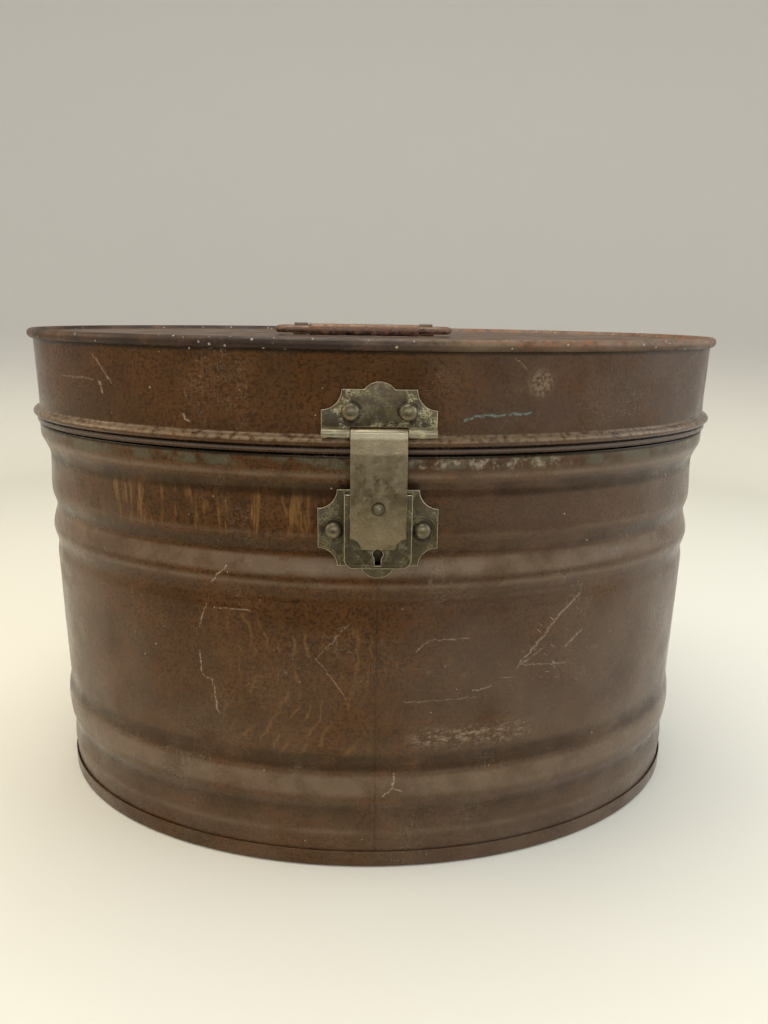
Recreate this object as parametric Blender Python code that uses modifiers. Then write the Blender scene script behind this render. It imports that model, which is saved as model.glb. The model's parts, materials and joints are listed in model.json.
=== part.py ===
"""Oval japanned-tin hat box with a hinged lid, a hasp lock and a bail handle.

Metres, +Z up. The front, with the lock, faces -Y and the long axis of the oval runs along X.
Every size is worked out from the driving dimensions below. Offsets called "out" are measured
outwards from the plain wall, so a swage that stands 2 mm proud of the wall has out = 2 mm.
"""
import math

import bmesh
import bpy
from mathutils import Matrix, Vector

MM = 0.001

# ---- driving dimensions ------------------------------------------------------------------
HALF_LENGTH = 194.5 * MM      # plain wall, centre to the end of the oval
HALF_DEPTH = 133.5 * MM       # plain wall, centre to the front of the oval
SHEET = 0.8 * MM              # tin plate
PLATE = 1.0 * MM              # brass plate of the lock and hinges
GAP = 0.3 * MM                # clearance between touching pieces
OVAL_STEPS = 48               # facets around the oval
EDGE_STEP = 0.1 * MM          # step where a crown or lobe leaves a straight edge
ROUND = 16                    # facets of a round piece
SMALL_ROUND = 12              # facets of a rivet, a pin or a hole
KNUCKLE_FACETS = 20
HOLE_REACH = 3 * MM           # how far a hole's cutter starts in front of the piece

# Rivets: head radius, head height, shank radius.
HINGE_RIVET = (4.2 * MM, 2.9 * MM, 1.4 * MM)
LOCK_RIVET = (4.0 * MM, 2.8 * MM, 1.3 * MM)
REAR_RIVET = (3.0 * MM, 1.6 * MM, 1.3 * MM)
LOOP_RIVET = (2.2 * MM, 1.1 * MM, 1.1 * MM)
TAIL_WIDTH = 1.7              # clenched tail, as a share of the shank

# ---- heights of the case and the lid -------------------------------------------------------
FLANGE_TOP = 9.5 * MM         # bottom pan's upturned edge
STOP_TOP = 218.9 * MM         # shoulder that the lid comes down to
COLLAR_TOP = 234.0 * MM       # neck inside the lid
LIP_BOTTOM = STOP_TOP + 0.6 * MM
BEAD_HEIGHT = 224.9 * MM      # middle of the lid's bead
PANEL_TOP = 267.5 * MM        # upper face of the lid's top panel
RIM_TOP = 269.8 * MM          # seam around the lid's top panel

# ---- how far things stand out from the plain wall ------------------------------------------
COLLAR_OUT = 0.4 * MM
STOP_OUT = 2.9 * MM
LID_OUT = 2.2 * MM
LIP_OUT = 3.9 * MM
BEAD_OUT = 5.7 * MM
RIM_OUT = 5.0 * MM
FLANGE_OUT = COLLAR_OUT + GAP + SHEET
FLANGE_CORNER = 1.6 * MM
PANEL_EDGE = 30 * MM          # width of the pan's ring of facets beside its flat middle
TOP_EDGE = 40 * MM            # the same for the lid's top
BEAD_RISE = 2.3 * MM          # half the height of the lid's bead
HEM = 1.9 * MM                # width of the lid's rolled lower edge

# ---- seam between the two half sheets ------------------------------------------------------
LAP_WIDTH = 6.0 * MM
LAP_INSET = SHEET + 0.5 * MM
LAP_STEP = 0.9 * MM           # width of the joggle beside the seam

# ---- hasp and its hinge plate on the lid front ---------------------------------------------
LID_FACE = HALF_DEPTH + LID_OUT
HINGE_BACK = LID_FACE + GAP
HINGE_FRONT = HINGE_BACK + PLATE
KNUCKLE = 2.1 * MM            # outer radius of the hasp's knuckles
HASP_AXIS_Z = BEAD_HEIGHT + 4.3 * MM
HASP_AXIS_Y = HINGE_BACK + KNUCKLE
HINGE_HALF = 25.6 * MM
HINGE_TOP = HASP_AXIS_Z + 19.1 * MM
HINGE_RIVET_X = 12.6 * MM
HINGE_RIVET_Z = HASP_AXIS_Z + 9.4 * MM
HASP_HALF = 12.6 * MM
HASP_SHEET = 1.2 * MM
HASP_BEND_Z = HASP_AXIS_Z - 9.0 * MM
HASP_BOTTOM = HASP_AXIS_Z - 52.3 * MM
HASP_CORNER = 4.9 * MM        # concave corner at the hasp's lower end
HASP_TOP_CORNER = 0.5 * MM
HINGE_CORNER = 9.0 * MM       # concave corner of the plate
HINGE_CROWN = (6.7 * MM, 3.4 * MM)
STAPLE_Z = HASP_AXIS_Z - 33.4 * MM
STAPLE_HALF = 0.6 * MM
STAPLE_RISE = 3.5 * MM
STAPLE_SHANK = 1.0 * MM
EYE_RISE = 2.3 * MM
EYE_FRONT = 0.7 * MM          # metal in front of the eye
EYE_BACK = 0.8 * MM           # metal behind the eye
STUD = (2.4 * MM, 1.3 * MM)   # stud radius at the hasp and at its tip
PIN = 1.0 * MM                # radius of both hinge pins
PIN_ROOM = 0.25 * MM

# ---- lock on the case front ----------------------------------------------------------------
SWAGE_OUT = 1.0 * MM          # upper swage, which the lock plate stands on
LOCK_BACK = HALF_DEPTH + SWAGE_OUT + GAP
LOCK_FRONT = LOCK_BACK + PLATE
LOCK_HALF = 27.5 * MM
LOCK_TOP = 203.4 * MM
LOCK_BOTTOM = 167.0 * MM
LOCK_RIVET_X = 20.3 * MM
LOCK_RIVET_Z = 184.3 * MM
LOCK_CORNER = 8.8 * MM        # concave corner of the plate
LOCK_LOBE = (8.0 * MM, 6.0 * MM)
CASE_BACK = LOCK_FRONT + GAP
CASE_FRONT = CASE_BACK + 3.9 * MM
CASE_HALF = 15.4 * MM
CASE_TOP = LOCK_TOP - 1.4 * MM
CASE_CORNER = 4.5 * MM
SLOT_HALF = 1.1 * MM          # slot that the staple goes into
SLOT_DROP = 6.0 * MM
KEY_Z = 174.1 * MM
KEY_ROUND = 2.35 * MM
KEY_HALF = 1.45 * MM
KEY_DROP = 5.6 * MM
BOLT_HALF = 0.6 * MM          # half the thickness of the bolt and of its spring
BOLT_Y = -(CASE_BACK + CASE_FRONT - PLATE) / 2 - 0.4 * MM
HASP_BACK = CASE_FRONT + GAP
STUD_HEIGHT = 1.5 * MM
FRONT_REACH = HASP_BACK + HASP_SHEET + GAP + STUD_HEIGHT

# ---- rear hinge ----------------------------------------------------------------------------
REAR_KNUCKLE = 2.2 * MM
REAR_AXIS_Y = HALF_DEPTH + BEAD_OUT + 2.8 * MM
REAR_AXIS_Z = LIP_BOTTOM - 0.2 * MM
REAR_HALF = 30.0 * MM
REAR_KNUCKLES = 5
REAR_RIVET_X = 20.0 * MM
LID_LEAF_TOP = 246.0 * MM
CASE_LEAF_BOTTOM = 186.0 * MM
LID_RIVET_Z = LID_LEAF_TOP - 6.0 * MM
CASE_RIVET_Z = CASE_LEAF_BOTTOM + 6.0 * MM
REAR_REACH = REAR_AXIS_Y + REAR_KNUCKLE

# ---- handle on the lid ---------------------------------------------------------------------
HANDLE_X = -7.0 * MM          # it stands a little to the left of the middle
WIRE = 2.0 * MM
GRIP = 3.25 * MM
GRIP_HALF = 31.0 * MM
BAIL_HALF = 48.5 * MM
BAIL_REACH = 30.0 * MM
BAIL_CORNER = 7.0 * MM
BAIL_END = 31.0 * MM
BAIL_Z = PANEL_TOP + GRIP + GAP
LOOP_X = 37.5 * MM
LOOP_HALF = 4.0 * MM
LOOP_FOOT = 11.0 * MM
LOOP_RIVET_Y = 8.0 * MM

# The oval is moved so that the lock and the rear hinge reach equally far from the origin.
OVAL_CENTRE_Y = (FRONT_REACH - REAR_REACH) / 2

LID_AXIS = Vector((0, REAR_AXIS_Y, REAR_AXIS_Z))
HASP_AXIS = Vector((0, -HASP_AXIS_Y, HASP_AXIS_Z))
HANDLE_AXIS = Vector((HANDLE_X, 0, BAIL_Z))

JAPAN = ("japanned_tin", (0.10, 0.045, 0.022), 0.45, 0.0)
BRASS = ("aged_brass", (0.25, 0.20, 0.11), 0.45, 1.0)
STEEL = ("rusted_steel", (0.16, 0.09, 0.05), 0.6, 1.0)


# ---- scene helpers -------------------------------------------------------------------------
def clear_scene():
    for item in list(bpy.data.objects):
        bpy.data.objects.remove(item)


def new_collection(name):
    collection = bpy.data.collections.new(name)
    bpy.context.scene.collection.children.link(collection)
    return collection


clear_scene()
PARTS = new_collection("hat_box")
CUTTERS = new_collection("cutters")


def new_empty(name, location, parent=None):
    empty = bpy.data.objects.new(name, None)
    empty.location = location
    empty.parent = parent
    PARTS.objects.link(empty)
    return empty


OVAL = new_empty("oval_centre", (0, OVAL_CENTRE_Y, 0))
LID = new_empty("lid_axis", LID_AXIS, OVAL)
HASP = new_empty("hasp_axis", HASP_AXIS - LID_AXIS, LID)
HANDLE = new_empty("handle_axis", HANDLE_AXIS - LID_AXIS, LID)
AXES = {OVAL: Vector(), LID: LID_AXIS, HASP: HASP_AXIS, HANDLE: HANDLE_AXIS}


def place(item, parent, collection):
    """Parents a piece that was modelled about the oval's centre."""
    collection.objects.link(item)
    item.parent = parent
    item.matrix_parent_inverse = Matrix.Translation(-AXES[parent])


def set_material(item, look):
    """Gives the piece a Principled material of its own."""
    name, colour, roughness, metallic = look
    material = bpy.data.materials.new(f"{item.name}_{name}")
    material.use_nodes = True
    shader = material.node_tree.nodes["Principled BSDF"]
    shader.inputs["Base Color"].default_value = (*colour, 1)
    shader.inputs["Roughness"].default_value = roughness
    shader.inputs["Metallic"].default_value = metallic
    item.data.materials.append(material)


def add_part(name, mesh, parent, look, smooth=False):
    part = bpy.data.objects.new(name, mesh)
    place(part, parent, PARTS)
    set_material(part, look)
    if smooth:
        mesh.shade_smooth()
        mesh.set_sharp_from_angle(angle=math.radians(35))
    return part


def add_cutter(name, mesh, parent):
    cutter = bpy.data.objects.new(name, mesh)
    place(cutter, parent, CUTTERS)
    cutter.hide_render = True
    cutter.display_type = "WIRE"
    return cutter


def boolean(part, other, operation="DIFFERENCE"):
    modifier = part.modifiers.new(f"{operation.lower()}_{other.name}", "BOOLEAN")
    modifier.operation = operation
    modifier.solver = "EXACT"
    modifier.object = other


# ---- mesh helpers --------------------------------------------------------------------------
def finish_mesh(bm, name):
    bmesh.ops.recalc_face_normals(bm, faces=bm.faces)
    mesh = bpy.data.meshes.new(name)
    bm.to_mesh(mesh)
    bm.free()
    return mesh


def box_mesh(name, low, high):
    bm = bmesh.new()
    size = [b - a for a, b in zip(low, high)]
    middle = [(a + b) / 2 for a, b in zip(low, high)]
    bmesh.ops.create_cube(bm, size=1)
    bmesh.ops.scale(bm, vec=size, verts=bm.verts)
    bmesh.ops.translate(bm, vec=middle, verts=bm.verts)
    return finish_mesh(bm, name)


def rod_mesh(name, radius, start, end, sides=ROUND):
    """A cylinder from start to end."""
    start, end = Vector(start), Vector(end)
    bm = bmesh.new()
    turn = (end - start).to_track_quat("Z", "Y").to_matrix().to_4x4()
    bmesh.ops.create_cone(bm, cap_ends=True, segments=sides, radius1=radius, radius2=radius,
                          depth=(end - start).length,
                          matrix=Matrix.Translation((start + end) / 2) @ turn)
    return finish_mesh(bm, name)


def outline_mesh(name, outline, half_thickness, facing, centre):
    """A flat outline with thickness. Facing "front" draws it in X and Z, "side" in Y and Z."""
    curve = bpy.data.curves.new(name, "CURVE")
    curve.dimensions = "2D"
    curve.fill_mode = "BOTH"
    curve.extrude = half_thickness
    spline = curve.splines.new("POLY")
    spline.points.add(len(outline) - 1)
    spline.use_cyclic_u = True
    for point, (across, up) in zip(spline.points, outline):
        point.co = (across, up, 0, 1)
    drawing = bpy.data.objects.new(name, curve)
    bpy.context.scene.collection.objects.link(drawing)
    graph = bpy.context.evaluated_depsgraph_get()
    mesh = bpy.data.meshes.new_from_object(drawing.evaluated_get(graph))
    bpy.data.objects.remove(drawing)
    bm = bmesh.new()
    bm.from_mesh(mesh)
    bpy.data.meshes.remove(mesh)
    bmesh.ops.remove_doubles(bm, verts=bm.verts, dist=0.00001)
    turn = Matrix.Rotation(math.pi / 2, 4, "X")
    if facing == "side":
        turn = Matrix.Rotation(math.pi / 2, 4, "Z") @ turn
    bmesh.ops.transform(bm, matrix=Matrix.Translation(centre) @ turn, verts=bm.verts)
    return finish_mesh(bm, name)


def arc(centre, radius, start, end, steps):
    """Points on an arc, angles in degrees."""
    points = []
    for step in range(steps + 1):
        angle = math.radians(start + (end - start) * step / steps)
        points.append((centre[0] + radius * math.cos(angle), centre[1] + radius * math.sin(angle)))
    return points


def bulge(half_width, rise, height, side, steps):
    """A shallow arc across the middle of an edge, right to left below it and left to right above.

    It starts a hair outside the edge, so that no three points of the outline are in line.
    """
    height += side * EDGE_STEP
    radius = (half_width ** 2 + rise ** 2) / (2 * rise)
    spread = math.degrees(math.asin(half_width / radius))
    if half_width < rise:
        spread = 180 - spread
    centre = (0, height + side * (rise - radius))
    return arc(centre, radius, side * 90 + spread, side * 90 - spread, steps)


def offset_line(line, distance):
    """Moves an open line of (out, height) points to its left."""
    moved = []
    for index, point in enumerate(line):
        before = Vector(line[max(index - 1, 0)])
        after = Vector(line[min(index + 1, len(line) - 1)])
        here = Vector(point)
        directions = [d.normalized() for d in (here - before, after - here) if d.length > 0]
        along = sum(directions, Vector((0, 0))).normalized()
        normal = Vector((-along.y, along.x))
        mitre = max(normal.dot(Vector((-directions[0].y, directions[0].x))), 0.5)
        moved.append(tuple(here + normal * distance / mitre))
    return moved


def sheet_profile(line, thickness, tuck=0.0):
    """Closes an open line into a sheet, thickened on its left and tucked behind itself."""
    return offset_line(line, tuck) + offset_line(line, tuck + thickness)[::-1]


def oval_point(out, height, angle):
    return ((HALF_LENGTH + out) * math.cos(angle), (HALF_DEPTH + out) * math.sin(angle), height)


def full_oval(profile):
    return [(2 * math.pi * step / OVAL_STEPS, profile) for step in range(OVAL_STEPS)]


def oval_sweep(name, stations, ring=True, capped=False):
    """Carries a profile of (out, height) points around the oval, from station to station.

    A station is an angle and the profile there. A ring closes on itself. A capped ring has
    an open profile, whose first and last points bound flat panels. Without ring, the ends of
    the strip are closed instead.
    """
    bm = bmesh.new()
    columns = []
    for angle, profile in stations:
        columns.append([bm.verts.new(oval_point(out, height, angle)) for out, height in profile])
    column_pairs = list(zip(columns, columns[1:]))
    if ring:
        column_pairs.append((columns[-1], columns[0]))
    length = len(columns[0])
    rows = list(zip(range(length), range(1, length)))
    if not capped:
        rows.append((length - 1, 0))
    for left, right in column_pairs:
        for low, high in rows:
            bm.faces.new((left[low], right[low], right[high], left[high]))
    if capped:
        bm.faces.new([column[0] for column in columns])
        bm.faces.new([column[-1] for column in columns])
    if not ring:
        bm.faces.new(columns[0])
        bm.faces.new(columns[-1])
    return finish_mesh(bm, name)


def turned(name, profile, location, direction, parent, look, steps=SMALL_ROUND):
    """Turns (radius, height) points, given from top to bottom, about the direction."""
    mesh = bpy.data.meshes.new(name)
    edges = [(index, index + 1) for index in range(len(profile) - 1)]
    mesh.from_pydata([(radius, 0, height) for radius, height in profile], edges, [])
    part = bpy.data.objects.new(name, mesh)
    place(part, parent, PARTS)
    set_material(part, look)
    part.location = location
    part.rotation_euler = Vector(direction).to_track_quat("Z", "Y").to_euler()
    screw = part.modifiers.new("turn", "SCREW")
    screw.steps = steps
    screw.render_steps = steps
    screw.use_merge_vertices = True
    screw.merge_threshold = 0.00001
    screw.use_smooth_shade = True
    return part


def rivet(name, size, grip, location, direction, parent, look):
    """A domed rivet with its head on the location and its tail clenched beyond the grip."""
    head, height, shank = size
    tail = shank * TAIL_WIDTH
    profile = [(0, GAP + height)]
    for degrees in (60, 30):
        angle = math.radians(degrees)
        profile.append((head * math.cos(angle), GAP + height * math.sin(angle)))
    profile += [(head, GAP), (shank, GAP), (shank, -grip), (tail, -grip), (tail, -grip - SHEET),
                (0, -grip - SHEET)]
    return turned(name, profile, location, direction, parent, look)


def rivet_hole(name, size, location, direction, parent, reach=HOLE_REACH):
    """A cutter for the shank, running from in front of the piece to behind it."""
    shank = size[-1]
    direction = Vector(direction)
    location = Vector(location)
    start = location + direction * reach
    end = location - direction * reach * 2
    return add_cutter(name, rod_mesh(name, shank + GAP, start, end, SMALL_ROUND), parent)


# ---- case ----------------------------------------------------------------------------------
def wall_line():
    """Outer face of the case wall from the floor to the top of its neck, with its swages."""
    points = [
        (0.4, 1.2), (0.4, 11.0),                                      # inside the bottom flange
        (0.8, 20.0), (0.0, 32.5),                                     # low bead
        (1.6, 41.0), (2.1, 48.0), (1.5, 55.0), (0.0, 63.0),           # lower swage
        (0.0, 141.0), (-0.8, 148.0),                                  # plain wall
        (1.0, 158.0), (-1.8, 171.0), (-0.1, 180.0), (-1.1, 201.0),    # upper swage and the band
        (1.4, 208.5),                                                 # shoulder
    ]
    line = [(out * MM, height * MM) for out, height in points]
    line += [(STOP_OUT, 212.5 * MM), (STOP_OUT, STOP_TOP - 1.1 * MM), (STOP_OUT - 0.6 * MM, STOP_TOP)]
    line += [(COLLAR_OUT, STOP_TOP + 0.4 * MM), (COLLAR_OUT, COLLAR_TOP)]
    return line


def left_stations(profile):
    """Rear seam, round the left end, to the front seam."""
    steps = OVAL_STEPS // 2
    return [(math.pi / 2 + math.pi * step / steps, profile) for step in range(steps + 1)]


def right_stations(profile, tucked):
    """Front seam, round the right end, to the rear seam, with a lap behind the left half."""
    lap = LAP_WIDTH / HALF_LENGTH
    joggle = LAP_STEP / HALF_LENGTH
    edge = GAP / HALF_LENGTH
    front, rear = -math.pi / 2, math.pi / 2
    steps = OVAL_STEPS // 2
    stations = [(front - lap, tucked), (front + edge, tucked), (front + edge + joggle, profile)]
    stations += [(front + math.pi * step / steps, profile) for step in range(1, steps)]
    stations += [(rear - edge - joggle, profile), (rear - edge, tucked), (rear + lap, tucked)]
    return stations


def make_case_sheets():
    profile = sheet_profile(wall_line(), SHEET)
    tucked = sheet_profile(wall_line(), SHEET, LAP_INSET)
    halves = (("left", -1, left_stations(profile)), ("right", 1, right_stations(profile, tucked)))
    for side, sign, stations in halves:
        name = f"case_sheet_{side}"
        sheet = add_part(name, oval_sweep(name, stations, ring=False), OVAL, JAPAN, True)
        lock_spot = (sign * LOCK_RIVET_X, -HALF_DEPTH, LOCK_RIVET_Z)
        rear_spot = (sign * REAR_RIVET_X, HALF_DEPTH, CASE_RIVET_Z)
        boolean(sheet, rivet_hole(f"lock_hole_{side}", LOCK_RIVET, lock_spot, (0, -1, 0), OVAL))
        boolean(sheet, rivet_hole(f"rear_hole_{side}", REAR_RIVET, rear_spot, (0, 1, 0), OVAL))


def make_bottom_pan():
    profile = [
        (-PANEL_EDGE, SHEET),
        (FLANGE_OUT - SHEET, SHEET),
        (FLANGE_OUT - SHEET, FLANGE_TOP),
        (FLANGE_OUT, FLANGE_TOP),
        (FLANGE_OUT, FLANGE_CORNER),
        (FLANGE_OUT - FLANGE_CORNER, 0),
        (-PANEL_EDGE, 0),
    ]
    mesh = oval_sweep("bottom_pan", full_oval(profile), capped=True)
    add_part("bottom_pan", mesh, OVAL, JAPAN, True)


# ---- lid -----------------------------------------------------------------------------------
def lid_wall_line():
    """Outer face of the lid's band, from the lip at the bottom to the flange under the seam."""
    line = [(LIP_OUT, LIP_BOTTOM), (LIP_OUT, BEAD_HEIGHT - 2.6 * MM)]
    bead = BEAD_OUT - LID_OUT
    for degrees in (-35, 0, 35, 70):
        angle = math.radians(degrees)
        line.append((LID_OUT + bead * math.cos(angle), BEAD_HEIGHT + BEAD_RISE * math.sin(angle)))
    flange = PANEL_TOP - SHEET - GAP - 0.4 * MM
    line += [(LID_OUT, BEAD_HEIGHT + 3.0 * MM), (LID_OUT, flange), (RIM_OUT - 1.1 * MM, flange)]
    return line


def make_lid_band():
    outer = lid_wall_line()
    profile = sheet_profile(outer, SHEET)
    hem = LIP_OUT - HEM
    profile[-1] = (hem, LIP_BOTTOM)
    profile[-2] = (hem, BEAD_HEIGHT - 3.4 * MM)
    profile.insert(len(profile) - 2, (LIP_OUT - SHEET, BEAD_HEIGHT - 2.9 * MM))
    band = add_part("lid_band", oval_sweep("lid_band", full_oval(profile)), LID, JAPAN, True)
    for side, sign in (("left", -1), ("right", 1)):
        hasp_spot = (sign * HINGE_RIVET_X, -LID_FACE, HINGE_RIVET_Z)
        leaf_spot = (sign * REAR_RIVET_X, LID_FACE, LID_RIVET_Z)
        boolean(band, rivet_hole(f"hasp_plate_hole_{side}", HINGE_RIVET, hasp_spot, (0, -1, 0), LID))
        boolean(band, rivet_hole(f"lid_leaf_hole_{side}", REAR_RIVET, leaf_spot, (0, 1, 0), LID))


def make_lid_top():
    """Top panel, with its edge folded over the band's flange as a raised seam."""
    under = PANEL_TOP - SHEET
    flange_top = PANEL_TOP - 0.2 * MM
    hook_top = under - SHEET - GAP
    hook = hook_top - 0.6 * MM - GAP
    wall = LID_OUT + GAP
    profile = [
        (-TOP_EDGE, under),
        (LID_OUT - SHEET - 0.5 * MM, under),
        (LID_OUT - SHEET - 0.5 * MM, flange_top),
        (RIM_OUT - SHEET, flange_top),
        (RIM_OUT - SHEET, hook_top - GAP),
        (wall, hook_top - GAP),
        (wall, hook),
        (RIM_OUT - 0.6 * MM, hook),
        (RIM_OUT, hook + 0.6 * MM),
        (RIM_OUT, RIM_TOP - 0.7 * MM),
        (RIM_OUT - 0.9 * MM, RIM_TOP),
        (1.6 * MM, RIM_TOP),
        (0.5 * MM, RIM_TOP - 0.7 * MM),
        (-0.6 * MM, PANEL_TOP),
        (-TOP_EDGE, PANEL_TOP),
    ]
    top = add_part("lid_top", oval_sweep("lid_top", full_oval(profile), capped=True), LID, JAPAN, True)
    for name, x, y in loop_rivets():
        boolean(top, rivet_hole(f"{name}_hole", LOOP_RIVET, (x, y, PANEL_TOP), (0, 0, 1), LID, 2 * MM))


# ---- plates --------------------------------------------------------------------------------
def scalloped_outline(half, low, high, corner, low_corner, crown, lobe):
    """A plate outline with concave corners, a crown on top and a lobe below.

    Crown and lobe are (half width, rise) or None.
    """
    points = []
    if low_corner:
        points += arc((-half, low), low_corner, 90, 0, 4)
    else:
        points.append((-half, low))
    if lobe:
        points += bulge(*lobe, low, -1, 8)[::-1]
    if low_corner:
        points += arc((half, low), low_corner, 180, 90, 4)
    else:
        points.append((half, low))
    points += arc((half, high), corner, 270, 180, 4)
    if crown:
        points += bulge(*crown, high, 1, 8)[::-1]
    points += arc((-half, high), corner, 0, -90, 4)
    return points


def make_hinge_plate():
    """Plate riveted to the lid, with a knuckle at each side of the hasp."""
    outline = scalloped_outline(HINGE_HALF, HASP_AXIS_Z, HINGE_TOP, HINGE_CORNER, 0, HINGE_CROWN, None)
    centre = (0, -(HINGE_BACK + HINGE_FRONT) / 2, 0)
    flat = outline_mesh("hasp_plate", outline, PLATE / 2, "front", centre)
    plate = add_part("hasp_plate", flat, LID, BRASS)
    end = Vector((HINGE_HALF, 0, 0))
    knuckle = rod_mesh("plate_knuckle", KNUCKLE, HASP_AXIS - end, HASP_AXIS + end, KNUCKLE_FACETS)
    boolean(plate, add_cutter("plate_knuckle", knuckle, LID), "UNION")
    side_room = HASP_HALF + GAP
    room = KNUCKLE + 2 * GAP
    low = (-side_room, -HASP_AXIS_Y - 2 * room, HASP_AXIS_Z - room)
    high = (side_room, -HINGE_BACK + GAP, HASP_AXIS_Z + room)
    boolean(plate, add_cutter("hasp_room", box_mesh("hasp_room", low, high), LID))
    boolean(plate, pin_bore("hasp_plate_bore", HASP_AXIS, HINGE_HALF, LID))
    grip = PLATE + GAP + SHEET + 0.8 * MM
    for side, sign in (("left", -1), ("right", 1)):
        spot = (sign * HINGE_RIVET_X, -HINGE_FRONT, HINGE_RIVET_Z)
        boolean(plate, rivet_hole(f"hasp_plate_rivet_room_{side}", HINGE_RIVET, spot, (0, -1, 0), LID))
        rivet(f"hasp_plate_rivet_{side}", HINGE_RIVET, grip, spot, (0, -1, 0), LID, BRASS)


def pin_bore(name, axis, half_length, parent):
    end = Vector((half_length + 5 * MM, 0, 0))
    return add_cutter(name, rod_mesh(name, PIN + PIN_ROOM, axis - end, axis + end, SMALL_ROUND), parent)


def make_pin(name, axis, half_length, parent):
    end = Vector((half_length, 0, 0))
    add_part(name, rod_mesh(name, PIN, axis - end, axis + end, SMALL_ROUND), parent, STEEL, True)


def make_hasp():
    """Strap that hangs over the lid's bead and lies on the lock."""
    front = HASP_BACK + HASP_SHEET
    leave = math.degrees(math.asin((KNUCKLE - HASP_SHEET) / KNUCKLE))
    side = arc((-HASP_AXIS_Y, HASP_AXIS_Z), KNUCKLE, 180, -90 - leave, 14)
    side += [(-HASP_BACK, HASP_BEND_Z), (-HASP_BACK, HASP_BOTTOM)]
    side += [(-front, HASP_BOTTOM), (-front, HASP_BEND_Z)]
    strap = add_part("hasp", outline_mesh("hasp", side, HASP_HALF, "side", (0, 0, 0)), HASP, BRASS)
    top = HASP_AXIS_Z + 2 * KNUCKLE
    face = scalloped_outline(HASP_HALF, HASP_BOTTOM, top, HASP_TOP_CORNER, HASP_CORNER, None, None)
    trim = outline_mesh("hasp_trim", face, front - HINGE_BACK, "front", (0, -HASP_AXIS_Y, 0))
    boolean(strap, add_cutter("hasp_trim", trim, HASP), "INTERSECT")
    boolean(strap, pin_bore("hasp_bore", HASP_AXIS, HASP_HALF, HASP))
    boolean(strap, rivet_hole("staple_hole", (STAPLE_SHANK,), (0, -front, STAPLE_Z), (0, -1, 0), HASP))


def make_staple():
    """Eye behind the hasp, held by a shank that is peened over into a stud in front."""
    back = CASE_BACK + GAP
    root = HASP_BACK - GAP
    low = (-STAPLE_HALF, -root, STAPLE_Z - STAPLE_RISE)
    high = (STAPLE_HALF, -back, STAPLE_Z + STAPLE_RISE)
    staple = add_part("hasp_staple", box_mesh("hasp_staple", low, high), HASP, BRASS)
    low = (-2 * STAPLE_HALF, -root + EYE_FRONT, STAPLE_Z - EYE_RISE)
    high = (2 * STAPLE_HALF, -back - EYE_BACK, STAPLE_Z + EYE_RISE)
    boolean(staple, add_cutter("staple_eye", box_mesh("staple_eye", low, high), HASP))
    front = HASP_BACK + HASP_SHEET + GAP
    overlap = 0.2 * MM
    start = (0, -root + overlap, STAPLE_Z)
    end = (0, -front - overlap, STAPLE_Z)
    shank = rod_mesh("staple_shank", STAPLE_SHANK, start, end, SMALL_ROUND)
    boolean(staple, add_cutter("staple_shank", shank, HASP), "UNION")
    bm = bmesh.new()
    middle = Matrix.Translation((0, -front - STUD_HEIGHT / 2, STAPLE_Z))
    bmesh.ops.create_cone(bm, cap_ends=True, segments=ROUND, radius1=STUD[0], radius2=STUD[1],
                          depth=STUD_HEIGHT, matrix=middle @ Matrix.Rotation(math.pi / 2, 4, "X"))
    boolean(staple, add_cutter("staple_stud", finish_mesh(bm, "staple_stud"), HASP), "UNION")


# ---- lock ----------------------------------------------------------------------------------
def make_lock_plate():
    outline = scalloped_outline(LOCK_HALF, LOCK_BOTTOM, LOCK_TOP, LOCK_CORNER, LOCK_CORNER, None, LOCK_LOBE)
    centre = (0, -(LOCK_BACK + LOCK_FRONT) / 2, 0)
    flat = outline_mesh("lock_plate", outline, PLATE / 2, "front", centre)
    plate = add_part("lock_plate", flat, OVAL, BRASS)
    grip = 5.2 * MM
    for side, sign in (("left", -1), ("right", 1)):
        spot = (sign * LOCK_RIVET_X, -LOCK_FRONT, LOCK_RIVET_Z)
        boolean(plate, rivet_hole(f"lock_rivet_room_{side}", LOCK_RIVET, spot, (0, -1, 0), OVAL))
        rivet(f"lock_rivet_{side}", LOCK_RIVET, grip, spot, (0, -1, 0), OVAL, BRASS)


def case_outline(inset):
    half, low, high = CASE_HALF - inset, LOCK_BOTTOM + inset, CASE_TOP - inset
    corner = CASE_CORNER - inset
    points = arc((-half + corner, low + corner), corner, 180, 270, 4)
    points += arc((half - corner, low + corner), corner, 270, 360, 4)
    return points + [(half, high), (-half, high)]


def make_lock_case():
    """Raised cover of the lock, open at the back, with the keyhole and the staple's slot."""
    depth = CASE_FRONT - CASE_BACK
    centre = (0, -(CASE_FRONT + CASE_BACK) / 2, 0)
    solid = outline_mesh("lock_case", case_outline(0), depth / 2, "front", centre)
    cover = add_part("lock_case", solid, OVAL, BRASS)
    hollow = outline_mesh("lock_hollow", case_outline(PLATE), depth / 2, "front", (0, centre[1] + PLATE, 0))
    boolean(cover, add_cutter("lock_hollow", hollow, OVAL))
    low = (-SLOT_HALF, -CASE_FRONT - PLATE, STAPLE_Z - SLOT_DROP)
    high = (SLOT_HALF, -CASE_BACK + PLATE, CASE_TOP + PLATE)
    boolean(cover, add_cutter("staple_slot", box_mesh("staple_slot", low, high), OVAL))
    front, back = -CASE_FRONT - 2 * PLATE, -CASE_FRONT + 2 * PLATE
    key = rod_mesh("keyhole", KEY_ROUND, (0, front, KEY_Z), (0, back, KEY_Z))
    boolean(cover, add_cutter("keyhole", key, OVAL))
    ward = box_mesh("keyhole_slot", (-KEY_HALF, front, KEY_Z - KEY_DROP), (KEY_HALF, back, KEY_Z))
    boolean(cover, add_cutter("keyhole_slot", ward, OVAL))


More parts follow.
